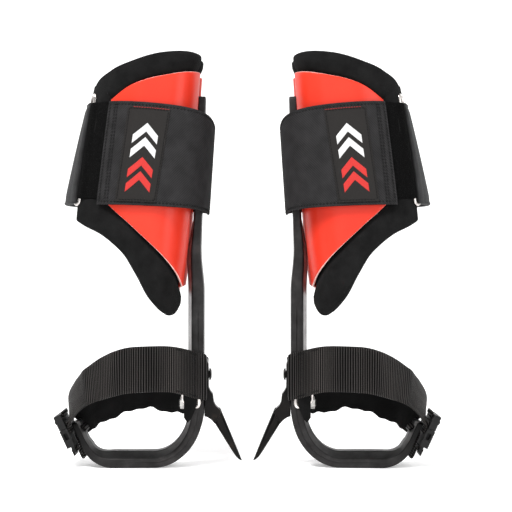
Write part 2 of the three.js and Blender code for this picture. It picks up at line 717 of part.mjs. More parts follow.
// Webbing that ties the buckle to the slot in the stirrup's lateral arm.
function makeStirrupLoop() {
  const route = [
    [-4, -18.6], [0, -18.6], [1.9, -17.2], [2.1, -14], [2.1, -11], [0.8, -8], [-3, -7.1],
    [-12, -7.1], [-23, -7.1], [-27.4, -6.4], [-27.4, -4.2], [-24, -3.6], [-19.5, -3.6],
    [-15, -3.4], [-13.8, -1.6], [-13.8, 0.9], [-15, 2.5], [-18, 2.6], [-22, 2.6],
  ];
  const half = 12;
  const edge = (y) => route.map(([s, t]) => {
    const [x, z] = buckleXZ(s, t);
    return vec(x, y, z);
  });
  return strap(edge(-half), edge(half), () => 1.5, 40);
}

// ---------------------------------------------------------------- assembly
const finish = (color, roughness, metalness) => ({ color, roughness, metalness });
const FORGED = finish(0x3c3a3a, 0.42, 0.85);
const BLACK_STEEL = finish(0x161514, 0.35, 0.8);
const CHROME = finish(0xd8d6d2, 0.15, 1);
const SCREW = finish(0x8c8a88, 0.3, 1);
const SLEEVE = finish(0x2a2a2b, 0.4, 0.8);
const RED_PLASTIC = finish(0xee3a2c, 0.38, 0);
const FOAM = finish(0x1c1c1c, 0.95, 0);
const FABRIC = finish(0x2c2c2d, 0.9, 0);
const LOOP_FABRIC = finish(0x101010, 1, 0);
const WEB = finish(0x332f2d, 0.85, 0);
const BLACK_PLASTIC = finish(0x121212, 0.45, 0);
const LABEL = finish(0x202020, 0.8, 0);

function spurPieces() {
  const [rivetUpper, rivetLower] = rivetPlaces();
  const [screwFront, screwRear] = shellScrewPlaces();
  const [adjustUpper, adjustLower] = adjusterHeights();
  return [
    ['shank', makeShank(), FORGED],
    ['gaff', makeGaff(), BLACK_STEEL],
    ['gaff_bolt_upper', makeBolt(-40.4 + GAP, 6.5, 2.4, BOLT_UPPER_Z), SCREW],
    ['gaff_bolt_lower', makeBolt(-39 + GAP, 4.9, 3, BOLT_LOWER_Z), SCREW],
    ['gaff_nut_upper', makeNut(BOLT_UPPER_Z), SCREW],
    ['gaff_nut_lower', makeNut(BOLT_LOWER_Z), SCREW],
    ['ring_bracket', makeRingBracket(), BLACK_STEEL],
    ['ankle_ring_front', makeAnkleRing(-1), CHROME],
    ['ankle_ring_rear', makeAnkleRing(1), CHROME],
    ['adjuster_sleeve', makeSleeve(), SLEEVE],
    ['adjuster_bolt_upper', makeAdjusterBolt(adjustUpper), SCREW],
    ['adjuster_bolt_lower', makeAdjusterBolt(adjustLower), SCREW],
    ['cuff_shell', makeShell(), RED_PLASTIC],
    ['shell_screw_front', makeShellScrew(...screwFront), SCREW],
    ['shell_screw_rear', makeShellScrew(...screwRear), SCREW],
    ['cuff_pad', makePad(), FOAM],
    ['wrap_base', makeWrapBase(), LOOP_FABRIC],
    ['wrap_rivet_upper', makeRivet(rivetUpper), SCREW],
    ['wrap_rivet_lower', makeRivet(rivetLower), SCREW],
    ['wrap_ring', makeWrapRing(), CHROME],
    ['calf_strap', makeCalfStrap(), FABRIC],
    ['closure_flap', makeFlap(), FABRIC],
    ['flap_label', makeLabel(), LABEL],
    ['ankle_strap_front', makeFrontStrap(), WEB],
    ['ankle_strap_heel', makeHeelStrap(), FOAM],
    ['buckle_female', makeBuckleFemale(), BLACK_PLASTIC],
    ['buckle_male', makeBuckleMale(), BLACK_PLASTIC],
    ['stirrup_loop', makeStirrupLoop(), WEB],
  ];
}

const pair = new THREE.Group();
for (const [name, geometry, look] of spurPieces()) {
  const material = new THREE.MeshStandardMaterial(look);
  const right = new THREE.Mesh(solid(geometry), material);
  right.name = `right_${name}`;
  const left = new THREE.Mesh(solid(geometry.clone().scale(-1, 1, 1)), material.clone());
  left.name = `left_${name}`;
  pair.add(right, left);
}

export default pair;
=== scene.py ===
"""Looks of a pair of tree climbing spurs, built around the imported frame.

The surface generators below work in millimetres on the right spur, which stands at -X.
Each piece is made once for each side, and the left one is the mirror image.
"""
import math

import bmesh
import bpy
import numpy as np
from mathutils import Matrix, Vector


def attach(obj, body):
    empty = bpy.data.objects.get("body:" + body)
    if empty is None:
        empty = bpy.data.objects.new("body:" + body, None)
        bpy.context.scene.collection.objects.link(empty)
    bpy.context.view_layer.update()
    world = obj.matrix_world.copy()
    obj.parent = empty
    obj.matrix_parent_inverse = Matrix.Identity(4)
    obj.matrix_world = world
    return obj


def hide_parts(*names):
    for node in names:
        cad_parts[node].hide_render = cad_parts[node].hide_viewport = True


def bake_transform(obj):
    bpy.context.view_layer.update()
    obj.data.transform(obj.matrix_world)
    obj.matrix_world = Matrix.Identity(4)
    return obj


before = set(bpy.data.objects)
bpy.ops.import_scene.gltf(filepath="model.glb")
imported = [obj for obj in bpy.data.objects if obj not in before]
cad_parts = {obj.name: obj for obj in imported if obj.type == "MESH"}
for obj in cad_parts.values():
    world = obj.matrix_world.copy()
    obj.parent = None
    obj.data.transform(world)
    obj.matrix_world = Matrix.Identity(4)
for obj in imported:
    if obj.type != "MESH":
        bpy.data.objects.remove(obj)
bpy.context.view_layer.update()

MM = 0.001
RIB_PITCH = 2.5  # of the ankle webbing, mm
SIDES = ("right", "left")
MIRROR = {"right": (1, 1, 1), "left": (-1, 1, 1)}

# ---- stage and camera
scene = bpy.context.scene
scene.view_settings.view_transform = "Standard"

CAMERA_PLACE = (0.0089, -1.2693, 0.220)
CAMERA_LENS, CAMERA_SENSOR = 85, 36
LIGHT_TARGET = (0, 0, 0.22)
LIGHTS = (  # name, place, size, power
    ("key", (-0.6, -0.9, 1.7), (0.6, 0.6), 44),
    ("fill", (1.3, -1.1, 0.7), (1.0, 1.2), 12),
    ("front", (0, -2.2, 0.5), (1.6, 1.0), 6),
    ("rim_left", (-1.2, 0.7, 0.7), (0.5, 1.2), 3),
    ("rim_right", (1.2, 0.7, 0.7), (0.5, 1.2), 3),
)
WORLD_STRENGTH = 0.62
FLOOR_SHADE, FLOOR_GLOW = 0.97, 0.25


def add_object(name, data):
    item = bpy.data.objects.new(name, data)
    scene.collection.objects.link(item)
    return item


def make_camera():
    camera = add_object("camera", bpy.data.cameras.new("camera"))
    camera.location = CAMERA_PLACE
    camera.rotation_euler = (math.radians(90), 0, 0)
    camera.data.lens = CAMERA_LENS
    camera.data.sensor_width = CAMERA_SENSOR
    scene.camera = camera


def make_lights():
    for name, place, size, power in LIGHTS:
        light = bpy.data.lights.new(name, "AREA")
        light.shape = "RECTANGLE"
        light.size, light.size_y = size
        light.energy = power
        lamp = add_object(name, light)
        lamp.location = place
        lamp.rotation_euler = (Vector(LIGHT_TARGET) - Vector(place)).to_track_quat("-Z", "Y").to_euler()
    world = bpy.data.worlds.new("studio")
    scene.world = world
    world.use_nodes = True
    background = world.node_tree.nodes["Background"]
    background.inputs["Color"].default_value = (1, 1, 1, 1)
    background.inputs["Strength"].default_value = WORLD_STRENGTH


def make_floor():
    """A pale floor that curves up into a backdrop."""
    half_width, front, back, rise, radius, steps = 4.0, -4.0, 2.2, 3.0, 1.0, 12
    profile = [(front, 0.0), (back - radius, 0.0)]
    for i in range(1, steps + 1):
        turn = math.pi / 2 * i / steps
        profile.append((back - radius + radius * math.sin(turn), radius * (1 - math.cos(turn))))
    profile.append((back, rise))
    verts = [(x, y, z) for y, z in profile for x in (-half_width, half_width)]
    faces = [(2 * i, 2 * i + 1, 2 * i + 3, 2 * i + 2) for i in range(len(profile) - 1)]
    mesh = bpy.data.meshes.new("floor")
    mesh.from_pydata(verts, [], faces)
    mesh.polygons.foreach_set("use_smooth", [True] * len(mesh.polygons))
    floor = add_object("floor", mesh)
    material = bpy.data.materials.new("floor")
    material.use_nodes = True
    shader = material.node_tree.nodes["Principled BSDF"]
    shader.inputs["Base Color"].default_value = (*grey(FLOOR_SHADE), 1)
    shader.inputs["Emission Color"].default_value = (1, 1, 1, 1)
    shader.inputs["Emission Strength"].default_value = FLOOR_GLOW
    shader.inputs["Roughness"].default_value = 0.8
    mesh.materials.append(material)


# ---- materials
class Nodes:
    """A short way to write a material's node tree."""

    def __init__(self, name):
        self.material = bpy.data.materials.new(name)
        self.material.use_nodes = True
        self.tree = self.material.node_tree
        self.shader = self.tree.nodes["Principled BSDF"]

    def add(self, kind, inputs=None, **settings):
        node = self.tree.nodes.new(kind)
        for key, value in settings.items():
            setattr(node, key, value)
        for key, value in (inputs or {}).items():
            self.feed(node.inputs[key], value)
        return node

    def feed(self, socket, value):
        if hasattr(value, "links"):
            self.tree.links.new(value, socket)
        else:
            socket.default_value = value

    def set(self, **values):
        for key, value in values.items():
            self.feed(self.shader.inputs[key.replace("_", " ")], value)

    def place(self):
        """Metres in the piece's own frame."""
        return self.add("ShaderNodeTexCoord").outputs["Object"]

    def axis(self, vector, name):
        return self.add("ShaderNodeSeparateXYZ", {"Vector": vector}).outputs[name]

    def cloth(self):
        """Metres along and across a strap or panel."""
        return self.add("ShaderNodeAttribute", attribute_name="cloth").outputs["Vector"]

    def scaled(self, vector, scale):
        return self.add("ShaderNodeMapping", {"Vector": vector, "Scale": scale}).outputs["Vector"]

    def noise(self, vector, scale, detail=3, roughness=0.5):
        node = self.add("ShaderNodeTexNoise", {"Vector": vector, "Scale": scale, "Detail": detail,
                                               "Roughness": roughness})
        return node.outputs["Fac"]

    def wave(self, vector, scale, direction="X", distortion=0.0):
        node = self.add("ShaderNodeTexWave", {"Vector": vector, "Scale": scale, "Distortion": distortion},
                        bands_direction=direction)
        return node.outputs["Fac"]

    def cells(self, vector, scale):
        return self.add("ShaderNodeTexVoronoi", {"Vector": vector, "Scale": scale}).outputs["Distance"]

    def math(self, operation, a, b=0.0):
        return self.add("ShaderNodeMath", {0: a, 1: b}, operation=operation).outputs[0]

    def shares(self, a, part_a, b, part_b):
        """A weighted sum of two values."""
        return self.math("ADD", self.math("MULTIPLY", a, part_a), self.math("MULTIPLY", b, part_b))

    def ramp(self, value, stops):
        node = self.add("ShaderNodeValToRGB", {"Fac": value})
        elements = node.color_ramp.elements
        elements[0].position, elements[0].color = stops[0][0], (*stops[0][1], 1)
        elements[1].position, elements[1].color = stops[-1][0], (*stops[-1][1], 1)
        for position, colour in stops[1:-1]:
            elements.new(position).color = (*colour, 1)
        return node.outputs["Color"]

    def range(self, value, low, high, start=0.0, end=1.0):
        node = self.add("ShaderNodeMapRange", {"Value": value, "From Min": start, "From Max": end,
                                               "To Min": low, "To Max": high})
        return node.outputs["Result"]

    def bump(self, height, distance, strength=1.0, normal=None):
        inputs = {"Height": height, "Distance": distance, "Strength": strength}
        if normal is not None:
            inputs["Normal"] = normal
        return self.add("ShaderNodeBump", inputs).outputs["Normal"]

    def mix(self, factor, a, b):
        node = self.add("ShaderNodeMix", {0: factor, 6: a, 7: b}, data_type="RGBA")
        return node.outputs[2]


def grey(value):
    return (value, value, value)


def forged_steel():
    n = Nodes("forged_steel")
    spot = n.place()
    scale = n.noise(spot, 55, 5, 0.6)
    grain = n.noise(spot, 900, 2)
    colour = n.ramp(scale, [(0.3, (0.014, 0.013, 0.013)), (0.55, (0.026, 0.025, 0.025)),
                            (0.75, (0.046, 0.043, 0.042))])
    dents = n.bump(n.noise(spot, 140, 3), 0.0004, 0.5)
    # Painted shade: the arm's outer end, from 150 to 175 mm out, fades to near-black.
    outwards = n.math("ABSOLUTE", n.axis(spot, "X"))
    colour = n.mix(n.range(outwards, 0, 1, 0.150, 0.175), colour, (0.006, 0.006, 0.006, 1))
    n.set(Base_Color=colour, Metallic=0.75, Roughness=n.range(scale, 0.34, 0.56), Specular_IOR_Level=0.25,
          Normal=n.bump(grain, 0.00012, 0.5, dents))
    return n.material


def slope_highlight_steel():
    """The forging's inner slopes, dark near the ground and lighter from 10 mm up to 75 mm: a painted
    highlight.
    """
    n = Nodes("slope_highlight_steel")
    spot = n.place()
    highlight_cloud = n.noise(spot, 70, 5, 0.6)
    streaks = n.noise(n.scaled(spot, (1, 1, 0.1)), 1200, 2)
    bright = n.ramp(highlight_cloud, [(0.3, (0.18, 0.17, 0.17)), (0.7, (0.36, 0.35, 0.35))])
    dark = n.ramp(highlight_cloud, [(0.3, grey(0.013)), (0.7, grey(0.034))])
    colour = n.mix(n.range(n.axis(spot, "Z"), 0, 1, 0.010, 0.075), dark, bright)
    n.set(Base_Color=colour, Metallic=0.8, Roughness=n.range(highlight_cloud, 0.35, 0.5),
          Normal=n.bump(streaks, 0.00008, 0.5))
    return n.material


def black_steel():
    n = Nodes("black_steel")
    spot = n.place()
    cloud = n.noise(spot, 60, 4)
    streaks = n.noise(n.scaled(spot, (1, 1, 0.08)), 1500, 2)
    colour = n.ramp(cloud, [(0.35, grey(0.003)), (0.6, (0.007, 0.006, 0.0055)),
                            (0.75, (0.022, 0.016, 0.012))])
    n.set(Base_Color=colour, Metallic=0.85, Roughness=n.range(cloud, 0.22, 0.42),
          Normal=n.bump(streaks, 0.00008, 0.5))
    return n.material


def mottled(name, cloud, low, high, gloss, fine, ends=(0.3, 0.7), **settings):
    """A finish with cloudy shade and roughness.

    cloud is the clouds' scale and detail, gloss the range of roughness, and fine the scale,
    height and strength of the small bumps, which follow the clouds if the scale is None.
    """
    n = Nodes(name)
    spot = n.place()
    shade = n.noise(spot, *cloud)
    scale, height, strength = fine
    bumps = shade if scale is None else n.noise(spot, scale, 2)
    n.set(Base_Color=n.ramp(shade, [(ends[0], low), (ends[1], high)]), Roughness=n.range(shade, *gloss),
          Normal=n.bump(bumps, height, strength), **settings)
    return n.material


def zinc():
    return mottled("zinc", (300, 4), (0.30, 0.29, 0.28), (0.55, 0.54, 0.52), (0.22, 0.4),
                   (1500, 0.00005, 0.4), Metallic=1.0)


def oxide():
    """Black oxide bolt heads, with bright spots painted in as glints."""
    return mottled("black_oxide", (420, 4), (0.016, 0.015, 0.015), (0.16, 0.155, 0.15), (0.28, 0.45),
                   (None, 0.00006, 0.5), (0.45, 0.7), Metallic=0.9)


def chrome():
    return mottled("chrome", (220, 3), (0.30, 0.28, 0.27), (0.80, 0.76, 0.73), (0.08, 0.2),
                   (None, 0.00004, 0.4), Metallic=1.0)


def black_paint():
    return mottled("black_paint", (90, 3), grey(0.02), grey(0.035), (0.35, 0.5), (1400, 0.00008, 0.5),
                   Metallic=0.3)


def red_plastic():
    return mottled("red_plastic", (14, 3), (0.49, 0.021, 0.009), (0.58, 0.031, 0.014), (0.27, 0.34),
                   (420, 0.00006, 0.4), Specular_IOR_Level=0.22)


def rim_highlight():
    """Painted highlight along the shell's rim: a pale colour on the rim's faces."""
    return mottled("rim_highlight", (260, 3), (0.72, 0.30, 0.26), (0.92, 0.66, 0.60), (0.5, 0.7),
                   (None, 0.0001, 0.5))


def black_plastic():
    return mottled("black_plastic", (120, 3), grey(0.002), grey(0.006), (0.42, 0.54), (1800, 0.0001, 0.5),
                   Specular_IOR_Level=0.2)


# Stitch thread, darker than the fabric it is sewn into: painted shade along the stitch lines.
def shaded_thread():
    return mottled("shaded_thread", (5200, 2), grey(0.0015), grey(0.006), (0.6, 0.8), (None, 0.0001, 0.6),
                   Specular_IOR_Level=0.15)


def brushed_fabric(name, high):
    """Felt-like cover: fine mottled pile with a weak sheen."""
    n = Nodes(name)
    spot = n.place()
    pile = n.noise(spot, 2600, 2, 0.7)
    patches = n.noise(spot, 70, 4, 0.6)
    both = n.shares(pile, 0.45, patches, 0.55)
    lumps = n.bump(patches, 0.0006, 0.35)
    n.set(Base_Color=n.ramp(both, [(0.32, grey(0.003)), (0.68, high)]), Roughness=n.range(pile, 0.85, 1.0),
          Normal=n.bump(pile, 0.0003, 0.8, lumps), Sheen_Weight=0.01, Sheen_Roughness=0.5,
          Specular_IOR_Level=0.05)
    return n.material


def loop_pile():
    """Hook-and-loop pile: dark tangled loops with a few lighter fibres."""
    n = Nodes("loop_pile")
    spot = n.place()
    tangle = n.noise(spot, 1500, 4, 0.8)
    height = n.math("ADD", tangle, n.math("MULTIPLY", n.cells(spot, 1300), 0.6))
    colour = n.ramp(tangle, [(0.45, grey(0.0015)), (0.62, grey(0.006)), (0.74, grey(0.06))])
    n.set(Base_Color=colour, Roughness=1.0, Normal=n.bump(height, 0.0008, 1.0), Specular_IOR_Level=0.04)
    return n.material


def twill():
    """Fine elastic weave with a diagonal rib."""
    n = Nodes("twill")
    cloth = n.cloth()
    rib = n.wave(cloth, 230, "DIAGONAL", 0.4)
    warp = n.wave(cloth, 300, "X")
    weave = n.shares(rib, 0.65, warp, 0.35)
    shade = n.shares(weave, 0.5, n.noise(n.place(), 90, 4), 0.5)
    n.set(Base_Color=n.ramp(shade, [(0.25, grey(0.009)), (0.75, (0.028, 0.027, 0.028))]),
          Roughness=n.range(weave, 0.85, 1.0), Normal=n.bump(weave, 0.00025, 0.8), Specular_IOR_Level=0.05)
    return n.material


def neoprene():
    """Smooth knitted cover of the calf strap, with a soft sheen."""
    n = Nodes("neoprene")
    cloth = n.cloth()
    knit = n.math("ADD", n.wave(cloth, 420, "X"), n.wave(cloth, 420, "Y"))
    patches = n.noise(n.place(), 60, 3)
    n.set(Base_Color=n.ramp(patches, [(0.3, grey(0.014)), (0.7, (0.026, 0.026, 0.027))]),
          Roughness=n.range(patches, 0.55, 0.7), Normal=n.bump(knit, 0.00008, 0.5), Specular_IOR_Level=0.10)
    return n.material


def webbing():
    """Polyester webbing: yarn lines across the ribs, brown-black, with painted shade in the grooves between
    the ribs and painted light and shade in broad bands along it.
    """
    n = Nodes("webbing")
    cloth = n.cloth()
    yarn = n.wave(cloth, 190, "Y", 0.6)
    fibres = n.noise(n.scaled(cloth, (1, 0.15, 1)), 3800, 3, 0.7)
    rib = n.wave(cloth, math.pi / (10 * RIB_PITCH * MM), "X")  # one band for each modelled rib
    # Painted shade: the grooves between the ribs are darkened.
    groove = n.range(rib, 0.05, 1.0, 0.15, 0.8)
    weave = n.shares(yarn, 0.25, fibres, 0.75)
    # Painted light and shade: broad lighter and darker bands along the strap.
    light_bands = n.range(n.noise(n.scaled(cloth, (1, 0.3, 1)), 26, 1), 0.45, 1.15, 0.35, 0.65)
    shade = n.math("MULTIPLY", n.math("MULTIPLY", weave, groove), light_bands)
    n.set(Base_Color=n.ramp(shade, [(0.05, grey(0.001)), (0.6, (0.034, 0.030, 0.028))]),
          Roughness=n.range(fibres, 0.45, 0.6), Normal=n.bump(weave, 0.00015, 0.6),
          Specular_IOR_Level=n.range(groove, 0.0, 0.22))
    return n.material


def satin_stitch(name, low, high):
    """Embroidered filling: close parallel threads."""
    n = Nodes(name)
    cloth = n.cloth()
    fibre = n.noise(cloth, 4000, 2)
    both = n.shares(n.wave(cloth, 700, "X", 0.8), 0.6, fibre, 0.4)
    n.set(Base_Color=n.ramp(both, [(0.2, low), (0.8, high)]), Roughness=n.range(fibre, 0.55, 0.7),
          Normal=n.bump(both, 0.00015, 0.7), Specular_IOR_Level=0.2)
    return n.material


LOOK = {
    "forged": forged_steel(), "slope_highlight": slope_highlight_steel(), "black_steel": black_steel(), "oxide": oxide(),
    "zinc": zinc(), "chrome": chrome(), "paint": black_paint(), "red": red_plastic(), "edge": rim_highlight(),
    "pad": brushed_fabric("pad_fabric", grey(0.010)), "heel": brushed_fabric("heel_fabric", grey(0.008)),
    "pile": loop_pile(), "twill": twill(), "neoprene": neoprene(), "webbing": webbing(),
    "plastic": black_plastic(), "thread": shaded_thread(),
    "label": satin_stitch("label_weave", (0.004, 0.0033, 0.003), (0.013, 0.011, 0.010)),
    "red_thread": satin_stitch("red_thread", (0.30, 0.012, 0.012), (0.52, 0.035, 0.028)),
    "white_thread": satin_stitch("white_thread", grey(0.40), grey(0.62)),
}


# ---- mesh helpers
def lerp(a, b, t):
    return a + (b - a) * t


def smoothstep(low, high, x):
    t = np.clip((x - low) / (high - low), 0, 1)
    return t * t * (3 - 2 * t)


def unit(v):
    return v / np.maximum(np.linalg.norm(v, axis=-1, keepdims=True), 1e-12)


def placed(side, points):
    """Points in mm on the right spur, as metres on the given side."""
    return np.asarray(points, float) * MM * MIRROR[side]


def closed_mesh(name, points, faces):
    """A mesh in metres whose faces all look outwards."""
    mesh = bpy.data.meshes.new(name)
    mesh.from_pydata(points.tolist(), [], [tuple(int(i) for i in f) for f in faces])
    edit = bmesh.new()
    edit.from_mesh(mesh)
    bmesh.ops.recalc_face_normals(edit, faces=edit.faces)
    edit.to_mesh(mesh)
    edit.free()
    return mesh


def make_piece(name, side, shape, looks, body, replaces=(), sharp=None, face_looks=None):
    """Makes an object from (vertices in mm, faces, cloth coordinates in metres or None)."""
    verts, faces, cloth = shape
    mesh = closed_mesh(f"{side}_{name}", placed(side, verts), faces)
    for look in looks:
        mesh.materials.append(LOOK[look])
    if face_looks is not None:
        mesh.polygons.foreach_set("material_index", np.asarray(face_looks, int))
    if cloth is not None:
        attribute = mesh.attributes.new("cloth", "FLOAT_VECTOR", "POINT")
        attribute.data.foreach_set("vector", np.asarray(cloth, float).ravel())
    mesh.polygons.foreach_set("use_smooth", [True] * len(mesh.polygons))
    if sharp is not None:
        mesh.set_sharp_from_angle(angle=math.radians(sharp))
    piece = add_object(f"{side}_{name}", mesh)
    if body:
        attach(piece, f"{side}_{body}")
    if replaces:
        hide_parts(*[f"{side}_{node}" for node in replaces])
    return piece


def merged(shapes):
    """Several shapes as one, with each face's shape number."""
    verts, faces, cloth, owner = [], [], [], []
    start = 0
    for number, (points, quads, coordinates) in enumerate(shapes):
        verts.append(points)
        cloth.append(np.zeros((len(points), 3)) if coordinates is None else coordinates)
        faces += [tuple(i + start for i in f) for f in quads]
        owner += [number] * len(quads)
        start += len(points)
    return (np.vstack(verts), faces, np.vstack(cloth)), owner


def face_mean(values):
    """A grid's values averaged over each of its quads."""
    return 0.25 * (values[:-1, :-1] + values[1:, :-1] + values[1:, 1:] + values[:-1, 1:])


class Sheet:
    """A strap, panel or pad: a middle surface with a thickness that rounds off at its border.

    surface(u, v) gives points in mm, half is half the thickness, as a number or for each
    (u, v), lengths the size along u and v, radius the width of the rounded border, and swell
    the outer side's extra height.
    """
    HEART = (-112.0, 0.0)  # a place inside the leg, which the outer side faces away from
    STEP = 1e-4  # of u and v, to find the surface's directions
    RIM = 0.4  # share of the border that counts as the rim's own faces

    def __init__(self, surface, half, radius, lengths, swell=None):
        self.surface, self.radius, self.lengths = surface, radius, lengths
        self.half = half if callable(half) else (lambda u, v: half + 0.0 * u)
        self.swell = swell or (lambda u, v: 0.0 * u)

    def normal(self, u, v):
        step = self.STEP
        along = self.surface(np.minimum(u + step, 1), v) - self.surface(np.maximum(u - step, 0), v)
        across = self.surface(u, np.minimum(v + step, 1)) - self.surface(u, np.maximum(v - step, 0))
        normal = unit(np.cross(along, across))
        outwards = self.surface(u, v)[..., :2] - np.asarray(self.HEART)
        return -normal if np.sum(normal[..., :2] * outwards) < 0 else normal

    def skin(self, u, v, lift=0.0):
        """Points a little above the outer surface."""
        height = self.half(u, v) + self.swell(u, v) + lift
        return self.surface(u, v) + self.normal(u, v) * height[..., None]

    def places(self, length, count, edge_steps):
        turn = np.linspace(0, math.pi / 2, edge_steps + 1)
        edge = self.radius * (1 - np.cos(turn))
        middle = np.linspace(self.radius, length - self.radius, count + 1)
        return np.concatenate([edge, middle[1:-1], (length - edge)[::-1]]) / length

    def rounding(self, distance):
        return np.sqrt(np.clip(1 - (1 - np.clip(distance / self.radius, 0, 1)) ** 2, 0, 1))

    def shape(self, count_u, count_v, edge_steps=4):
        length_u, length_v = self.lengths
        u, v = np.meshgrid(self.places(length_u, count_u, edge_steps),
                           self.places(length_v, count_v, edge_steps), indexing="ij")
        points, normal, half = self.surface(u, v), self.normal(u, v), self.half(u, v)
        edge_u, edge_v = np.minimum(u, 1 - u) * length_u, np.minimum(v, 1 - v) * length_v
        border = self.rounding(edge_u) * self.rounding(edge_v)
        outer = points + normal * ((half + self.swell(u, v)) * border)[..., None]
        inner = points - normal * (half * border)[..., None]
        cloth = np.stack([u * length_u * MM, v * length_v * MM, 0 * u], axis=-1)
        rows, columns = u.shape
        inside = (slice(1, -1), slice(1, -1))
        index_out = np.arange(rows * columns).reshape(rows, columns)
        index_in = index_out.copy()
        index_in[inside] = rows * columns + np.arange((rows - 2) * (columns - 2)).reshape(rows - 2, -1)
        faces = []
        for index, order in ((index_out, (0, 1, 2, 3)), (index_in, (3, 2, 1, 0))):
            quads = np.stack([index[:-1, :-1], index[1:, :-1], index[1:, 1:], index[:-1, 1:]], axis=-1)
            faces.append(quads[..., order].reshape(-1, 4))
        rim = np.minimum(face_mean(edge_u), face_mean(edge_v)) < self.RIM * self.radius
        self.at_rim = np.tile(rim.reshape(-1), 2).astype(int)
        return (np.vstack([outer.reshape(-1, 3), inner[inside].reshape(-1, 3)]), np.vstack(faces),
                np.vstack([cloth.reshape(-1, 3), cloth[inside].reshape(-1, 3)]))


def travel_along(points):
    """The distance from the first point to each point of a line."""
    return np.concatenate([[0], np.cumsum(np.linalg.norm(np.diff(points, axis=0), axis=1))])


def value_at(place, travel, values):
    """Points or directions at distances along a line."""
    return np.stack([np.interp(place, travel, values[:, k]) for k in range(3)], axis=-1)


def ring_faces(count, sides, closed=False, start=0):
    """Quads between neighbouring rings of points, with a cap at each end unless closed."""
    faces = []
    for i in range(count if closed else count - 1):
        here, there = start + i * sides, start + (i + 1) % count * sides
        for k in range(sides):
            n = (k + 1) % sides
            faces.append((here + k, here + n, there + n, there + k))
    if not closed:
        last = start + (count - 1) * sides
        faces += [tuple(range(start, start + sides))[::-1], tuple(range(last, last + sides))]
    return faces


def loft(rings):
    """A solid through rings with equal numbers of points."""
    rings = np.asarray(rings, float)
    return rings.reshape(-1, 3), ring_faces(*rings.shape[:2]), None


STITCH_SHAPE = ((-0.5, 0.35), (-0.3, 0.9), (0, 1.0), (0.3, 0.9), (0.5, 0.35))  # place, width
STITCH_SIDES = 6


def stitch_row(points, normals, pitch=3.0, length=2.1, thick=0.35):
    """A row of short raised threads along a line of points."""
    travel = travel_along(points)
    verts, faces = [], []
    for centre in np.arange(pitch / 2, travel[-1] - pitch / 4, pitch):
        middle = value_at(centre, travel, points)
        up = unit(value_at(centre, travel, normals))
        along = unit(value_at(centre + 0.3, travel, points) - middle)
        across = unit(np.cross(along, up))
        faces += ring_faces(len(STITCH_SHAPE), STITCH_SIDES, start=len(verts))
        for end, width in STITCH_SHAPE:
            sink = 0.25 - abs(end)
            for k in range(STITCH_SIDES):
                turn = 2 * math.pi * k / STITCH_SIDES
                verts.append(middle + along * length * end + thick * width
                             * (across * math.cos(turn) + up * math.sin(turn)) + up * thick * sink)
    return np.array(verts), faces, None


def sew(name, side, sheet, lines, body, slot, look="thread", **sizes):
    """Makes stitch rows on a sheet's outer side, as a piece. Each line is (u0, v0, u1, v1)."""
    t = np.linspace(0, 1, 60)
    rows = []
    for u0, v0, u1, v1 in lines:
        u, v = lerp(u0, u1, t), lerp(v0, v1, t)
        rows.append(stitch_row(sheet.skin(u, v), sheet.normal(u, v), **sizes))
    return make_piece(name, side, merged(rows)[0], [look], body)


def spline(points, per_span=12):
    """A centripetal Catmull-Rom curve through the points."""
    p = np.asarray(points, float)
    p = np.vstack([2 * p[0] - p[1], p, 2 * p[-1] - p[-2]])
    knots = np.concatenate([[0], np.cumsum(np.linalg.norm(np.diff(p, axis=0), axis=1) ** 0.5)])
    out = []
    for i in range(1, len(p) - 2):
        t = np.linspace(knots[i], knots[i + 1], per_span, endpoint=False)[:, None]
        k = knots[i - 1:i + 3]

        def between(a, b, low, high):
            return (k[high] - t) / (k[high] - k[low]) * a + (t - k[low]) / (k[high] - k[low]) * b

        a = [between(p[i - 1 + j], p[i + j], j, j + 1) for j in range(3)]
        b = [between(a[j], a[j + 1], j, j + 2) for j in range(2)]
        out.append(between(*b, 1, 2))
    return np.vstack([*out, p[-2:-1]])


def ribbon_surface(edge_a, edge_b):
    """A surface between two edge splines, with u even along the middle, and its length."""
    a, b = spline(edge_a), spline(edge_b)
    travel = travel_along((a + b) / 2)
    length = travel[-1]

    def surface(u, v):
        s = np.asarray(u) * length
        return lerp(value_at(s, travel, a), value_at(s, travel, b), np.asarray(v)[..., None])

    return surface, length


def wire(path, radius, sides):
    """A closed ring of round wire along a path of points."""
    path = np.asarray(path, float)
    inward = path.mean(axis=0) - path
    along = unit(np.roll(path, -1, axis=0) - np.roll(path, 1, axis=0))
    across = unit(np.cross(along, inward))
    inward = np.cross(across, along)
    turn = np.linspace(0, 2 * math.pi, sides, endpoint=False)[None, :, None]
    ring = across[:, None, :] * np.cos(turn) + inward[:, None, :] * np.sin(turn)
    verts = (path[:, None, :] + radius * ring).reshape(-1, 3)
    return verts, ring_faces(len(path), sides, closed=True), None


def corner_curve(before, corner, after, steps):
    """A short curve that rounds one corner."""
    return [(1 - t) ** 2 * before + 2 * t * (1 - t) * corner + t * t * after
            for t in np.linspace(0, 1, steps + 1)]


def rounded_path(corners, radius, steps, straight=24):
    """A closed path with straight sides and round corners."""
    corners = np.asarray(corners, float)
    path = []
    for i, corner in enumerate(corners):
        following = corners[(i + 1) % len(corners)]
        before = corner + unit(corners[i - 1] - corner) * radius
        after = corner + unit(following - corner) * radius
        path += corner_curve(before, corner, after, steps)
        goal = following + unit(corner - following) * radius
        path += [lerp(after, goal, k / straight) for k in range(1, straight)]
    return path


def rounded_outline(corners, radii, steps=3):
    """Corners of a closed outline turned into short curves."""
    corners = np.asarray(corners, float)
    out = []
    for i, corner in enumerate(corners):
        back, forth = corners[i - 1] - corner, corners[(i + 1) % len(corners)] - corner
        size = min(radii[i], 0.45 * np.linalg.norm(back), 0.45 * np.linalg.norm(forth))
        out += corner_curve(corner + unit(back) * size, corner, corner + unit(forth) * size, steps)
    return np.array(out)


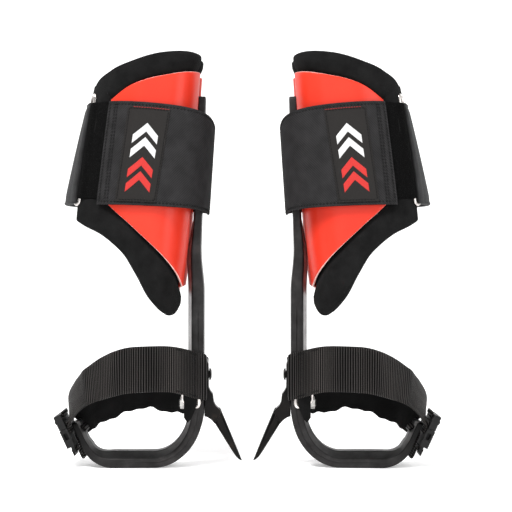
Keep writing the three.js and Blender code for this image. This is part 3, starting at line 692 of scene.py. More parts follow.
def turned_x(profile, z, sides=36, hexagon=()):
    """A turned part along X from (x, radius) points; rings listed in hexagon are six-sided."""
    rings = []
    for number, (x, radius) in enumerate(profile):
        ring = []
        for k in range(sides):
            turn = 2 * math.pi * k / sides
            r = radius
            if number in hexagon:
                r = radius / math.cos((turn + math.pi / 6) % (math.pi / 3) - math.pi / 6)
            ring.append((x, r * math.cos(turn), z + r * math.sin(turn)))
        rings.append(ring)
    return loft(rings)


def plate_xz(outline, half_depth, y=0.0):
    """An outline in the XZ plane made into a plate about a plane of equal Y."""
    count = len(outline)
    verts = [(x, y + side, z) for side in (-half_depth, half_depth) for x, z in outline]
    faces = [tuple(range(count)), tuple(range(2 * count - 1, count - 1, -1))]
    faces += [(i, i + count, (i + 1) % count + count, (i + 1) % count) for i in range(count)]
    return np.array(verts, float), faces, None


def add_bevel(piece, width, angle):
    bevel = piece.modifiers.new("bevel", "BEVEL")
    bevel.width = width
    bevel.segments = 3
    bevel.limit_method = "ANGLE"
    bevel.angle_limit = math.radians(angle)


# ---- leg surface, as in the frame
CHANNEL, CHANNEL_FLAT, CHANNEL_END = 7.1, 12, 17
SQUARENESS = 4.44
STAND_OFF, STAND_OFF_FULL, STAND_OFF_END = 9.5, 18, 72
SHELL_THICKNESS = 3.0
FLAP_OFFSET, FLAP_THICKNESS = 3.4, 3.0
BASE_OFFSET, WEB_THICKNESS = 0.8, 1.8
SHELL_FROM, SHELL_TO = -62, 125
PAD_FROM, PAD_TO = -75, (140, 166)
PAD_GAP, PAD_THICKNESS = 2.2, 10.4
SEAM_ANGLE = -20
WRAP_MIDDLE = 320.0


# Places and reaches that change with height, as (value, slope, height of that value).
CENTRE_X, MEDIAL_X = (-117, 0.119, 279), (-52.5, 0.066, 312)
LATERAL_REACH, FRONT_REACH = (57.5, -0.11, 380), (55, -0.04, 380)
MEDIAL_CURVE, MEDIAL_CURVE_TOP = 0.0005, 263


def sloped(rule, z):
    value, slope, height = rule
    return value + slope * (z - height)


def channel(angle):
    return CHANNEL * (1 - smoothstep(CHANNEL_FLAT, CHANNEL_END, np.abs(angle)))


def stand_off(angle):
    return STAND_OFF * (1 - smoothstep(STAND_OFF_FULL, STAND_OFF_END, np.abs(angle)))


def leg_point(angle, z, offset):
    """A place round the leg: 0 degrees is the shank's side and 90 the front."""
    turn = np.radians(angle)
    centre = sloped(CENTRE_X, z)
    medial_x = sloped(MEDIAL_X, z) - MEDIAL_CURVE * np.maximum(0, MEDIAL_CURVE_TOP - z) ** 2
    across = np.cos(turn)
    reach = lerp(sloped(LATERAL_REACH, z), medial_x - centre, smoothstep(-0.12, 0.12, across))
    square = np.sqrt(1 - np.maximum(across, 0) ** SQUARENESS) * np.where(np.sin(turn) < 0, -1, 1)
    along = np.where(across > 0, square, np.sin(turn))
    return np.stack(np.broadcast_arrays(centre + (reach + offset) * across,
                                        -(sloped(FRONT_REACH, z) + offset) * along, z), axis=-1)


def smooth_line(points):
    """A height along an edge: a smooth curve through (angle, height) points."""
    xs, ys = np.array(points, float).T
    slopes = np.gradient(ys, xs)

    def line(x):
        x = np.clip(x, xs[0], xs[-1])
        i = np.clip(np.searchsorted(xs, x) - 1, 0, len(xs) - 2)
        span = xs[i + 1] - xs[i]
        t = (x - xs[i]) / span
        return ((1 + 2 * t) * (1 - t) ** 2 * ys[i] + t * (1 - t) ** 2 * span * slopes[i]
                + t * t * (3 - 2 * t) * ys[i + 1] + t * t * (t - 1) * span * slopes[i + 1])

    return line


shell_top = smooth_line([(-62, 398), (-30, 409), (0, 410), (40, 407), (66, 403), (88, 398.5),
                         (106, 391.5), (125, 378)])
shell_bottom = smooth_line([(-62, 262), (-40, 222), (-18, 190), (0, 181), (8, 183), (32, 203), (47, 216),
                            (77, 242), (107, 270), (125, 288)])
pad_top = smooth_line([(-75, 412), (-30, 428), (20, 429), (60, 427.5), (79, 425.5), (109, 417.5),
                       (131, 409.5), (146, 403), (156, 396)])
pad_bottom = smooth_line([(-75, 262), (-40, 222), (-15, 192), (10, 184), (16, 170), (25, 160), (36, 162),
                          (50, 170), (62, 181), (75, 200), (90, 221), (110, 240), (130, 250), (156, 262)])


def wrap_edge(middle, rise, spread):
    """An edge of the wrap that rises away from the shank, by angle."""
    return lambda angle: middle + rise * (1 - np.exp(-np.abs(angle) / spread))


wrap_top, wrap_bottom = wrap_edge(355, 23, 48), wrap_edge(263, 10, 60)


def limit(angle, v):
    """An angle given as a pair changes from the bottom edge to the top edge."""
    return lerp(*angle, v) if isinstance(angle, tuple) else angle


def on_leg(start, end, bottom, top, offset):
    """A surface round the leg between two angles and two edge lines."""
    def surface(u, v):
        angle = lerp(limit(start, v), limit(end, v), u)
        z = lerp(bottom(angle), top(angle), v)
        return leg_point(angle, z, offset(angle, z))

    return surface


def leg_length(start, end, offset=0.0):
    """The way round the leg at the middle of the wrap."""
    return travel_along(leg_point(np.linspace(start, end, 200), np.full(200, WRAP_MIDDLE), offset))[-1]


# ---- cuff
def make_shell(side):
    surface = on_leg(SHELL_FROM, SHELL_TO, shell_bottom, shell_top,
                     lambda angle, z: -SHELL_THICKNESS / 2 - channel(angle))
    sheet = Sheet(surface, SHELL_THICKNESS / 2, 1.0, (leg_length(SHELL_FROM, SHELL_TO), 150))
    # The shell's rim faces get the pale colour: a painted highlight.
    make_piece("shell", side, sheet.shape(150, 70), ["red", "edge"], "cuff", ["cuff_shell"],
               face_looks=sheet.at_rim)


def past_shell(angle, z):
    """How far a place is outside the shell's outline, in mm upwards and degrees sideways."""
    inner_angle = np.clip(angle, SHELL_FROM, SHELL_TO)
    above = z - shell_top(inner_angle)
    below = (shell_bottom(inner_angle) - z) * 0.75
    beside = np.maximum(angle - SHELL_TO, SHELL_FROM - angle)
    return np.maximum(np.maximum(above, below), beside)


def make_pad(side):
    def offset(angle, z):
        behind = -SHELL_THICKNESS - PAD_GAP - 5.5 - channel(angle)
        outer = -6.0 + 1.6 * smoothstep(90, 130, angle) - 0.9 * channel(angle)
        return lerp(behind, outer, smoothstep(0, 10, past_shell(angle, z)))

    def swell(u, v):
        angle = lerp(PAD_FROM, limit(PAD_TO, v), u)
        z = lerp(pad_bottom(angle), pad_top(angle), v)
        free = smoothstep(0, 14, past_shell(angle, z))
        return free * (1.4 + 0.5 * np.sin(angle * 0.21 + 1.3) * np.sin(z * 0.05))

    sheet = Sheet(on_leg(PAD_FROM, PAD_TO, pad_bottom, pad_top, offset), PAD_THICKNESS / 2, 3.6,
                  (leg_length(PAD_FROM, PAD_TO[1]), 190), swell)
    piece = make_piece("pad", side, sheet.shape(150, 90, 6), ["pad"], "cuff", ["cuff_pad"])


# ---- calf wrap
RING_NEAR, RING_FAR = (137.5, 149.5), (144.5, 156.5)  # angles of the bars, bottom and top
NEAR_Z, FAR_Z = (272, 386), (273, 385)
FOLD = 2.6
BASE_SPAN = (52, (RING_NEAR[0] + FOLD, RING_NEAR[1] + FOLD))
STRAP_SPAN = (SEAM_ANGLE, (RING_FAR[0] - FOLD - 360, RING_FAR[1] - FOLD - 360))
FLAP_SPAN = (SEAM_ANGLE, (116.5, 122))
LABEL_SPAN = ((67.5, 62.5), 101)
WRAP_RING_LIFT, WRAP_RING_WIRE = 1.6, 1.7
OUTER_LENGTH = 8  # offset at which the outer bands' lengths are measured


def roll_end(u, length, size=5.0):
    """The fold round a ring's bar at u = 1."""
    return smoothstep(length - 2.2 * size, length - 0.9 * size, u * length)


def make_wrap_base(side):
    start, end = BASE_SPAN
    length = leg_length(start, end[0])

    def offset(angle, z):
        bar = lerp(*RING_NEAR, (z - NEAR_Z[0]) / (NEAR_Z[1] - NEAR_Z[0]))
        near_bar = smoothstep(bar - 9, bar - 2, angle)
        return BASE_OFFSET + lerp(WEB_THICKNESS / 2, WRAP_RING_LIFT, near_bar)

    sheet = Sheet(on_leg(start, end, lambda a: wrap_bottom(a) + 6, wrap_top, offset),
                  lambda u, v: lerp(WEB_THICKNESS / 2, 2.8, roll_end(u, length)), 1.2, (length, 98))
    make_piece("base_strip", side, sheet.shape(80, 40), ["pile"], "cuff", ["wrap_base"])


def make_wrap_ring(side):
    corners = leg_point(np.array((RING_NEAR[0], *RING_FAR, RING_NEAR[1])),
                        np.array((NEAR_Z[0], *FAR_Z, NEAR_Z[1]), float), BASE_OFFSET + WRAP_RING_LIFT)
    make_piece("wrap_wire", side, wire(rounded_path(corners, 4.5, 8), WRAP_RING_WIRE, 16), ["chrome"],
               "cuff", ["wrap_ring"])


def make_calf_strap(side):
    length, height = leg_length(STRAP_SPAN[0], STRAP_SPAN[1][0], OUTER_LENGTH), 108

    def rise(angle, z):
        back = lerp(0.0, FLAP_OFFSET - BASE_OFFSET, smoothstep(-100, -60, angle))
        return BASE_OFFSET + back + stand_off(angle) + FLAP_THICKNESS / 2

    def half(u, v):
        fold = lerp(FLAP_THICKNESS / 2, 2.4, smoothstep(0.62, 0.72, u))
        fold = lerp(fold, 3.0, roll_end(u, length))
        return fold * (1 - 0.35 * np.exp(-((np.minimum(v, 1 - v) * height - 5) / 1.6) ** 2))

    def swell(u, v):
        return 0.9 * np.sin(math.pi * v) ** 0.5 * smoothstep(0.6, 0.75, u)

    sheet = Sheet(on_leg(*STRAP_SPAN, wrap_bottom, wrap_top, rise), half, 1.5, (length, height), swell)
    make_piece("calf_band", side, sheet.shape(150, 40), ["neoprene"], "cuff", ["calf_strap"])
    rows = [(0.02, v, 0.6, v) for v in (0.035, 0.965)]
    sew("calf_stitches", side, sheet, rows, "cuff", "strap_fabric")


FLAP_HEIGHT, FLAP_HEM = 103.0, 3.2
FLAP_ROWS = (3.0, 9.6, 12.6)  # sewn rows' distances from the free end
FLAP_BEND = ((-39.5, -28, 310), (-42.5, -45, 310))  # where the bend towards the flap starts and ends


def flap_rise(angle, z):
    return FLAP_OFFSET + stand_off(angle) + FLAP_THICKNESS / 2


def blend_pieces(side, pieces, bend):
    """Bakes the pieces' transforms into their meshes; the places where the bend would start and end are
    worked out but not used.
    """
    start, end = placed(side, bend).tolist()
    for piece in pieces:
        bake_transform(piece)


def make_flap(side):
    length = leg_length(FLAP_SPAN[0], FLAP_SPAN[1][1], OUTER_LENGTH)

    def half(u, v):
        from_edge = np.minimum(v, 1 - v) * FLAP_HEIGHT
        pinch = 0.7 * np.exp(-((from_edge - FLAP_HEM) / 1.1) ** 2)
        for row in FLAP_ROWS:
            pinch = np.maximum(pinch, 0.85 * np.exp(-(((1 - u) * length - row) / 1.2) ** 2))
        return FLAP_THICKNESS / 2 * (1 - pinch)

    sheet = Sheet(on_leg(*FLAP_SPAN, wrap_bottom, wrap_top, flap_rise), half, 1.3, (length, FLAP_HEIGHT))
    piece = make_piece("flap", side, sheet.shape(220, 70), ["twill"], None, ["closure_flap"])
    hem = FLAP_HEM / FLAP_HEIGHT
    rows = [(0.02, v, 0.99, v) for v in (hem, 1 - hem)]
    rows += [(1 - row / length, 0.02, 1 - row / length, 0.98) for row in FLAP_ROWS]
    threads = sew("flap_stitches", side, sheet, rows, None, "strap_fabric", pitch=3.5, length=2.2, thick=1.0)
    blend_pieces(side, (piece, threads), FLAP_BEND)


CHEVRONS = (0.10, 0.25, 0.46, 0.61)  # heights on the label; the lower two are red


def make_label(side):
    width, height = leg_length(LABEL_SPAN[0][1], LABEL_SPAN[1], 6), 93.0
    surface = on_leg(*LABEL_SPAN, lambda a: wrap_bottom(a) + 3.5, lambda a: wrap_top(a) - 5,
                     lambda a, z: flap_rise(a, z) + FLAP_THICKNESS / 2 + 0.45)
    patch = Sheet(surface, 0.4, 0.5, (width, height))
    make_piece("label_patch", side, patch.shape(50, 90, 3), ["label"], "flap", ["flap_label"])
    border = [(0.04, 0.02, 0.96, 0.02), (0.04, 0.98, 0.96, 0.98), (0.04, 0.02, 0.04, 0.98),
              (0.96, 0.02, 0.96, 0.98)]
    sew("label_stitches", side, patch, border, "flap", "label_fabric", length=2.2, thick=0.6)
    sew("label_edge_thread", side, patch, [(0.02, 0.992, 0.9, 0.992)], "flap", "label_fabric", "red_thread",
        pitch=2.6, length=2.2, thick=0.28)
    bars = []
    for low in CHEVRONS:
        def chevron(u, v, low=low):
            along = low + 0.09 * v + 0.13 * (1 - np.abs(2 * u - 1))
            return patch.skin(lerp(0.2, 0.8, u), along, 0.12)

        bars.append(Sheet(chevron, 0.22, 0.4, (width * 0.6, 9.0)).shape(40, 10, 2))
    shape, owner = merged(bars)
    make_piece("label_chevrons", side, shape, ["red_thread", "white_thread"], "flap",
               face_looks=[int(number > 1) for number in owner])


RIVETS = (("upper", 350.0), ("lower", 292.0))
RIVET_ANGLE = 62.0
RIVET_PROFILE = [(-3.0, 1.9), (2.6, 1.9), (2.62, 3.2), (2.8, 3.35), (3.1, 3.0), (3.3, 2.0), (3.36, 0.6)]


def make_rivets(side):
    """Domed rivets through the base strip."""
    up = np.array((0, 0, 1.0))
    for name, z in RIVETS:
        at, before, after = (leg_point(RIVET_ANGLE + turn, z, 0.0) for turn in (0, -1, 1))
        tangent = after - before
        out = unit(np.array((-tangent[1], tangent[0], 0)))
        out = out if out[1] < 0 else -out
        verts, faces, _ = turned_x(RIVET_PROFILE, 0, 24)
        verts = at + verts @ np.array((out, unit(np.cross(up, out)), up))
        make_piece(f"rivet_{name}", side, (verts, faces, None), ["zinc"], "cuff", [f"wrap_rivet_{name}"],
                   sharp=40)


# ---- shank and stirrup
GAP = 0.4
BAR_TOP, BAR_TOP_X, BAR_LEAN = 386, -43.6, 0.0317
BAR_THICKNESS, BAR_DEPTH, BAR_FLANK = 9, 26, 7.5  # a flank is the height of a section's straight side
TAPER_TOP, SHANK_TOP, SHANK_X = 258, 183, -45.4
SHANK_THICKNESS, SHANK_DEPTH, SHANK_FLANK = 16.5, 30, 12
BEND_TOP, BEND_WIDTH = 62, 52.3
SOLE_START, SOLE_END, SOLE_DEPTH, SOLE_FLANK = -125, -139, 35, 9.5
ARM_RADIUS, ARM_THICKNESS, ARM_FLANK, LAND = 35, 8.2, 7, 14
BUCKLE_TILT = math.radians(25)
BUCKLE_X, BUCKLE_Z = -186.5, 33
STEP_WIDTH, STEP_DEPTH = 5.4, 1.5
HIGHLIT_QUADS = (15, 23)  # the section's inner slopes
SHANK_SHARP = 34


def bar_outer_x(z):
    return BAR_TOP_X - BAR_LEAN * (BAR_TOP - z)


def buckle_xz(s, t):
    """s runs up along the tilted buckle, t outwards from its middle plane."""
    s, t = np.asarray(s, float), np.asarray(t, float)
    return (BUCKLE_X - math.sin(BUCKLE_TILT) * s - math.cos(BUCKLE_TILT) * t,
            BUCKLE_Z + math.cos(BUCKLE_TILT) * s - math.sin(BUCKLE_TILT) * t)


def shank_stations():
    """x, z, thickness, depth and flank down the outer face."""
    rows = []
    for z, trim in ((BAR_TOP, 4), (BAR_TOP - 1, 1.6), (BAR_TOP - 3, 0), (350, 0), (320, 0), (290, 0),
                    (TAPER_TOP, 0)):
        rows.append((bar_outer_x(z), z, BAR_THICKNESS, BAR_DEPTH - trim, BAR_FLANK))
    for u in np.linspace(0, 1, 25)[1:]:
        z = lerp(TAPER_TOP, SHANK_TOP, u)
        thickness = lerp(BAR_THICKNESS, SHANK_THICKNESS, 1 - (1 - u) ** 1.8)
        rows.append((lerp(bar_outer_x(z), SHANK_X, smoothstep(0.35, 1, u)), z, thickness,
                     lerp(BAR_DEPTH, SHANK_DEPTH, u), lerp(BAR_FLANK, SHANK_FLANK, u)))
    for z in (178, 174, 170, 166, 162, 158, 154, 148, 140, 120, 90):
        rows.append((SHANK_X, z, SHANK_THICKNESS, SHANK_DEPTH, SHANK_FLANK))
    for u in np.linspace(0, 1, 33):
        turn = math.pi / 2 * u
        rows.append((SHANK_X - BEND_WIDTH * (1 - math.cos(turn)), BEND_TOP * (1 - math.sin(turn)),
                     SHANK_THICKNESS, lerp(SHANK_DEPTH, SOLE_DEPTH, u), lerp(SHANK_FLANK, SOLE_FLANK, u)))
    rows.append((SOLE_START, 0, SHANK_THICKNESS, SOLE_DEPTH, SOLE_FLANK))
    for u in np.linspace(0, 1, 21):
        turn = (math.pi / 2 - BUCKLE_TILT) * u
        rows.append((SOLE_END - ARM_RADIUS * math.sin(turn), ARM_RADIUS * (1 - math.cos(turn)),
                     lerp(SHANK_THICKNESS, ARM_THICKNESS + 1.5, smoothstep(0, 1, u)), SOLE_DEPTH,
                     lerp(SOLE_FLANK, ARM_FLANK, u)))
    for s, trim in ((-12, 0), (0, 0), (8, 0), (9.3, 1), (10, 2.5)):
        rows.append((*buckle_xz(s, -8.8), ARM_THICKNESS - trim, SOLE_DEPTH - 1 - 1.6 * trim,
                     ARM_FLANK - 1 - 0.65 * trim))
    return np.array(rows, float)


def make_shank(side):
    rows = shank_stations()
    rings = []
    for i, (x, z, thickness, depth, flank) in enumerate(rows):
        along = unit(rows[min(i + 1, len(rows) - 1), :2] - rows[max(i - 1, 0), :2])
        foot = np.array((along[1], -along[0]))
        recess = STEP_DEPTH * smoothstep(176, 152, z) * (1 - smoothstep(-110, -136, x)) * (x > SOLE_END)
        half, split = depth / 2, min(STEP_WIDTH, 0.6 * flank)
        outline = [(0, half - recess), (split, half - recess), (split + 0.8, half), (flank, half),
                   (thickness, LAND / 2)]
        outline += [(n, -y) for n, y in outline[::-1]]
        radii = [1.4, 0.5, 0.5, 1.6, 1.4]
        section = rounded_outline(outline, radii + radii[::-1])
        rings.append([(x + foot[0] * n, y, z + foot[1] * n) for n, y in section])
    # The inner slopes' faces take the lighter steel: painted highlight.
    slope_highlight = [int(k in HIGHLIT_QUADS) for _ in rings[1:] for k in range(len(rings[0]))]
    shank = make_piece("shank_bar", side, loft(rings), ["forged", "slope_highlight"], "frame", ["shank"],
                       sharp=SHANK_SHARP, face_looks=slope_highlight + [0, 0])
    cut_slot(shank, side)


def cut_slot(piece, side):
    """Cuts the stirrup's strap slot through the lateral arm, and bakes it into the mesh."""
    (low, high), half_width, (inner, outer) = (0, 4.2), 12.8, (-25, -5)
    corners = [buckle_xz(s, t) for s, t in ((low, inner), (high, inner), (high, outer), (low, outer))]
    verts, faces, _ = plate_xz(corners, half_width)
    mesh = closed_mesh("slot_cutter", placed(side, verts), faces)
    mesh.materials.append(LOOK["forged"])
    cutter = add_object("slot_cutter", mesh)
    boolean = piece.modifiers.new("slot", "BOOLEAN")
    boolean.operation = "DIFFERENCE"
    boolean.object = cutter
    bpy.context.view_layer.update()
    evaluated = piece.evaluated_get(bpy.context.evaluated_depsgraph_get())
    result = bpy.data.meshes.new_from_object(evaluated)
    piece.modifiers.clear()
    piece.data = result
    bpy.data.objects.remove(cutter)
    result.set_sharp_from_angle(angle=math.radians(SHANK_SHARP))


# ---- gaff and bolts
GAFF_DEPTH = 13.8
# The gaff's tongue, outwards from the shank's face and up from the ground.
GAFF_OUTLINE = [(0, 115.2), (1.4, 115.2), (4.3, 107), (4.5, 82.5), (6.4, 78.9), (8.9, 75.4), (9.8, 67.4),
                (12.0, 63.2), (18.1, 57.9), (11.0, 44.6), (7.9, 48.2), (3.5, 51.4), (0, 52.4)]
SPIKE_ROOT, SPIKE_RUN = np.array((-26.95, 57.6)), np.array((21.4, -52.4))
SPIKE_SECTIONS = (  # distance, width, half depth, inset of the back
    (-4, 12.2, 6.4, 0.4), (0, 12.2, 6.4, 0.3), (1.2, 12.1, 6.3, 0.3), (10, 11.4, 5.8, 0.15),
    (24, 9.0, 4.8, 0.1), (38, 6.7, 3.5, 0.1), (47, 5.1, 2.5, 0.1), (51, 4.0, 1.9, 0.1),
    (54, 2.6, 1.2, 0.1), (56.2, 0.6, 0.4, 0.1))
SPIKE_OUTLINE = [(0, -0.42), (-0.22, -1), (-0.72, -1), (-1, -0.5), (-1, 0.5), (-0.72, 1), (-0.22, 1),
                 (0, 0.42)]  # shares of the width and half depth
GAFF_BOLTS = (("upper", 96, -40, 6.5, 2.4, "black_steel"),  # name, height, seat, radius, head, look
              ("lower", 66, -38.6, 4.9, 3.0, "oxide"))
RING_PIVOT, RING_REACH, RING_WIRE = (-66.6, 21.5), (-50, 23.5), 2.0
RING_LOW, RING_RISE, RING_HIGH = 63.5, 5, 118
LOOP_TIP = 6.7


def make_gaff(side):
    block = [(SHANK_X + GAP + x, z) for x, z in GAFF_OUTLINE]
    body = make_piece("gaff_block", side, plate_xz(block, GAFF_DEPTH / 2), ["black_steel"], "frame",
                      sharp=40)
    add_bevel(body, 0.0011, 20)
    along = unit(SPIKE_RUN)
    outwards = np.array((-along[1], along[0]))
    rings = []
    for s, width, depth, inset in SPIKE_SECTIONS:
        outline = [(width * a - inset, depth * b) for a, b in SPIKE_OUTLINE]
        ring = []
        for a, y in rounded_outline(outline, [0.9] * len(outline), 2):
            x, z = SPIKE_ROOT + along * s + outwards * a
            ring.append((x, y, z))
        rings.append(ring)
    make_piece("gaff_spike", side, loft(rings), ["black_steel"], "frame", ["gaff"], sharp=50)


def make_gaff_bolts(side):
    end = RING_PIVOT[0] - 5.2
    for name, z, seat, radius, height, look in GAFF_BOLTS:
        socket = 0.42 * radius
        profile = [(end, 3.2), (end + 0.8, 4.0), (seat, 4.0), (seat, radius - 0.3), (seat + 0.3, radius),
                   (seat + 0.45 * height, 0.97 * radius), (seat + 0.8 * height, 0.82 * radius),
                   (seat + height, 0.62 * radius), (seat + height, socket), (seat + 0.35 * height, socket)]
        make_piece(f"bolt_{name}", side, turned_x(profile, z, hexagon=(8, 9)), [look], "frame",
                   [f"gaff_bolt_{name}"], sharp=32)


def make_ankle_rings(side):
    for name, turn in (("front", -1), ("rear", 1)):
        (x0, y0), (x1, y1) = RING_PIVOT, RING_REACH
        corners = [(x0, turn * y0, RING_LOW + RING_RISE), (x1, turn * y1, RING_LOW),
                   (x1, turn * y1, RING_HIGH), (x0, turn * y0, RING_HIGH)]
        make_piece(f"ring_{name}", side, wire(rounded_path(corners, 5, 10), RING_WIRE, 20), ["chrome"],
                   "frame", [f"ankle_ring_{name}"])


# ---- height adjuster
SLEEVE_MIDDLE, SLEEVE_WALL = 312.5, 2.4
ADJUSTER_PITCH = 28


def make_adjuster_bolts(side):
    for name, turn in (("upper", 1), ("lower", -1)):
        z = SLEEVE_MIDDLE + turn * ADJUSTER_PITCH / 2
        tip = bar_outer_x(z) + GAP
        seat = tip + SLEEVE_WALL + 0.2 + BAR_LEAN * 6
        profile = [(tip, 3.0), (seat, 3.0), (seat, 5.0), (seat + 0.2, 5.2), (seat + 1.2, 5.0),
                   (seat + 1.9, 4.1), (seat + 2.2, 3.2), (seat + 2.2, 2.1), (seat + 0.9, 2.1)]
        make_piece(f"adjuster_bolt_{name}", side, turned_x(profile, z, hexagon=(7, 8)), ["zinc"], "cuff",
                   [f"adjuster_bolt_{name}"], sharp=32)


# ---- ankle strap
def ring_loop(turn, low, high, rise):
    """The strap's way round the free bar of an ankle ring, as pairs of edge points."""
    x, y = RING_REACH
    r = RING_WIRE + 1.5
    tip = x + LOOP_TIP
    route = [(x - 7, y - r, 0), (x - 2, y - r, 0), (tip, y - 0.7 * r, 0),
             (tip, y + 0.7 * r, rise / 2), (x - 2, y + r, rise)]
    return [((px, turn * py, low + up / 2), (px, turn * py, high + up)) for px, py, up in route]


def ribs(u, length):
    """The webbing's ribs, from -1 in a groove to 1 on a ridge."""
    return -np.cos(2 * math.pi * u * length / RIB_PITCH)


FRONT_WIDTH = 45.0
FRONT_BEND = ((-150, -45, 85), (-184, -12, 70))  # where the bend towards the buckle starts and ends


def make_front_strap(side):
    pairs = ring_loop(-1, 70.5, 116.5, 5) + [
        ((-76, -53, 82.5), (-76, -53, 129)), ((-100, -64, 84), (-100, -64, 130)),
        ((-122, -62, 82), (-122, -61, 128)), ((-143, -53, 76), (-145, -48, 119)),
        ((-161, -42, 69), (-165, -27, 105)), ((-173, -34, 60), (-181, 0, 88)),
        ((-180, -27, 51), (-190, 15, 70))]
    for s in (9, 1.5):
        x, z = buckle_xz(s, -5.6)
        pairs.append(((x, -21, z), (x, 21, z)))
    surface, length = ribbon_surface(*zip(*pairs))

    def half(u, v):
        from_edge = np.minimum(v, 1 - v) * FRONT_WIDTH
        middle = smoothstep(1.6, 3.4, from_edge)
        strength = lerp(0.20, 0.50, smoothstep(0.22, 0.36, u) * (1 - smoothstep(0.55, 0.75, u)))
        groove = 0.22 * np.exp(-((from_edge - 2.4) / 0.5) ** 2)
        return WEB_THICKNESS / 2 - groove + middle * strength * ribs(u, length) - 0.05

    def sway(u, v):
        free = smoothstep(0.18, 0.3, u) * (1 - smoothstep(0.7, 0.8, u))
        return free * (np.sin(u * length / 6.5 + 0.8 * v) + 0.5 * np.sin(u * length / 3.7 - 1.5 * v))

    sheet = Sheet(surface, half, 0.9, (length, FRONT_WIDTH), sway)
    strap = make_piece("front_strap", side, sheet.shape(900, 26, 3), ["webbing"], None,
                       ["ankle_strap_front"])
    near = 32.0 / length
    rows = [(u, 0.04, u, 0.96) for u in (near, near + 0.012)] + [(0.10, v, 0.26, v) for v in (0.055, 0.945)]
    sew("front_stitches", side, sheet, rows, "frame", "webbing", pitch=2.8, thick=0.6)
    blend_pieces(side, (strap,), FRONT_BEND)


def make_strap_tab(side):
    """The strap's sewn-back end below its lower edge."""
    outline = [(-65, 82), (-65.3, 54), (-61.5, 48.5), (-58, 52), (-53.5, 62), (-51.5, 72), (-51.5, 82)]
    verts, faces, _ = plate_xz(outline, 0.7, -27.0)
    cloth = np.stack([verts[:, 0] * MM, verts[:, 2] * MM, 0 * verts[:, 0]], axis=-1)
    tab = make_piece("strap_tab", side, (verts, faces, cloth), ["heel"], "frame", sharp=40)
    add_bevel(tab, 0.0005, 30)


HEEL_WIDTH, HEEL_HALF, HEEL_PADDED_HALF = 50, 0.9, 2.9


def make_heel_strap(side):
    pairs = ring_loop(1, 69.5, 112, 0) + [
        ((-70, 42, 50), (-70, 42, 102)), ((-90, 55, 50), (-90, 55, 102)), ((-115, 60, 53), (-115, 60, 102)),
        ((-140, 54, 46), (-141, 54, 98)), ((-160, 39, 38), (-163, 39, 88)),
        ((-165.5, 29, 35.5), (-170, 27, 84)), ((-170.5, 23.3, 31), (-174.5, 21.5, 82)),
        ((-175.5, 21.4, 33), (-178.5, 18.6, 79)), ((-180, 20.6, 41.5), (-182, 16, 77)),
        ((-184, 15, 49.5), (-185, 11, 74))]
    surface, length = ribbon_surface(*zip(*pairs))

    def wavy(u, v):
        points = surface(u, v)
        lower = (1 - v) ** 2 * smoothstep(0.15, 0.3, u)
        points[..., 2] += lower * (1.1 * np.sin(u * 41 + 0.6) + 0.7 * np.sin(u * 77 + 2.0))
        return points

    def half(u, v):
        full = smoothstep(0.33, 0.48, u) * (1 - 0.85 * smoothstep(0.66, 0.8, u))
        return lerp(HEEL_HALF, HEEL_PADDED_HALF, full)

    def folds(u, v):
        return 0.35 * (np.sin(u * 95 + 3 * v) * np.sin(v * 7 + 1) + np.sin(u * 47 - 4 * v)) * (1 - v) * u

    sheet = Sheet(wavy, half, 2.4, (length, HEEL_WIDTH), folds)
    strap = make_piece("heel_strap", side, sheet.shape(160, 34, 5), ["heel"], "frame", ["ankle_strap_heel"])


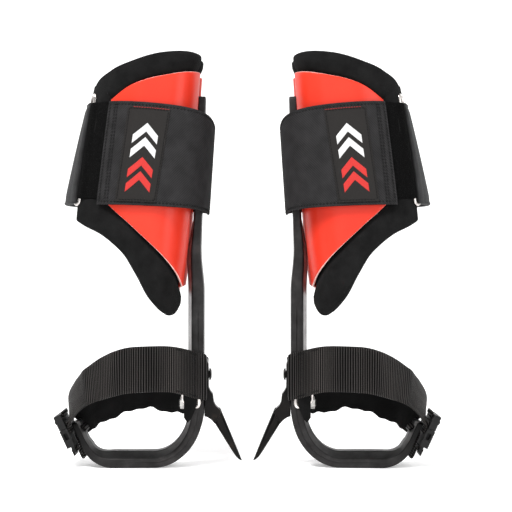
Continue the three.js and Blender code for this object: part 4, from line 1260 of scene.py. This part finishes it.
# ---- buckle
BUCKLE_TURN = [(26, -4.9), (22.5, -5.0), (20.8, -3.0), (20.5, 1.0), (19.9, 4.4), (17.5, 5.6), (15.1, 4.4),
               (14.5, 1.0), (14.2, -3.0), (12, -4.9), (8, -5.0)]
STIRRUP_TIE = [(-4, -18.6), (0, -18.6), (1.9, -17.2), (2.1, -14), (2.1, -11), (0.8, -8), (-3, -7.1),
               (-12, -7.1), (-23, -7.1), (-27.4, -6.4), (-27.4, -4.2), (-24, -3.6), (-19.5, -3.6),
               (-15, -3.4), (-13.8, -1.6), (-13.8, 0.9), (-15, 2.5), (-18, 2.6), (-22, 2.6)]


def make_webbing(name, side, route, half_width, thickness, columns, body, replaces=()):
    """Flat webbing along a route of (s, t) places in the buckle's own directions."""
    xs, zs = buckle_xz(*np.array(route, float).T)
    surface, length = ribbon_surface(*(np.stack([xs, np.full(len(xs), y), zs], axis=-1)
                                       for y in (-half_width, half_width)))

    def half(u, v):
        from_edge = np.minimum(v, 1 - v) * 2 * half_width
        ridge = smoothstep(1.2, 2.6, from_edge) * 0.14 * ribs(u, length)
        return thickness / 2 + ridge - 0.05

    sheet = Sheet(surface, half, 0.7, (length, 2 * half_width))
    make_piece(name, side, sheet.shape(int(length * 3), columns, 3), ["webbing"], body, replaces)


def make_buckle_webbing(side):
    """The front strap's turn through the male half's two slots, and the tie to the stirrup."""
    make_webbing("buckle_turn", side, BUCKLE_TURN, 16.2, 1.6, 20, "buckle")
    make_webbing("stirrup_tie", side, STIRRUP_TIE, 12, 1.5, 16, "frame", ["stirrup_loop"])


# ---- carried-over parts
CARRIED = (  # node, look, bevel
    ("gaff_nut_upper", "zinc", 0.0004), ("gaff_nut_lower", "zinc", 0.0004),
    ("shell_screw_front", "zinc", 0.0002), ("shell_screw_rear", "zinc", 0.0002),
    ("ring_bracket", "black_steel", 0.0005), ("adjuster_sleeve", "paint", 0.0005),
    ("buckle_female", "plastic", 0.0008), ("buckle_male", "plastic", 0.0006),
)


def finish_carried(side):
    for name, look, edge in CARRIED:
        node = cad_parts[f"{side}_{name}"]
        node.data.materials.clear()
        node.data.materials.append(LOOK[look])
        add_bevel(node, edge, 32)


MAKERS = (
    make_shell, make_pad, make_wrap_base, make_wrap_ring, make_calf_strap, make_flap, make_label, make_rivets,
    make_shank, make_gaff, make_gaff_bolts, make_ankle_rings, make_adjuster_bolts,
    make_front_strap, make_strap_tab, make_heel_strap, make_buckle_webbing, finish_carried,
)
for side_name in SIDES:
    for maker in MAKERS:
        maker(side_name)

make_camera()
make_lights()
make_floor()
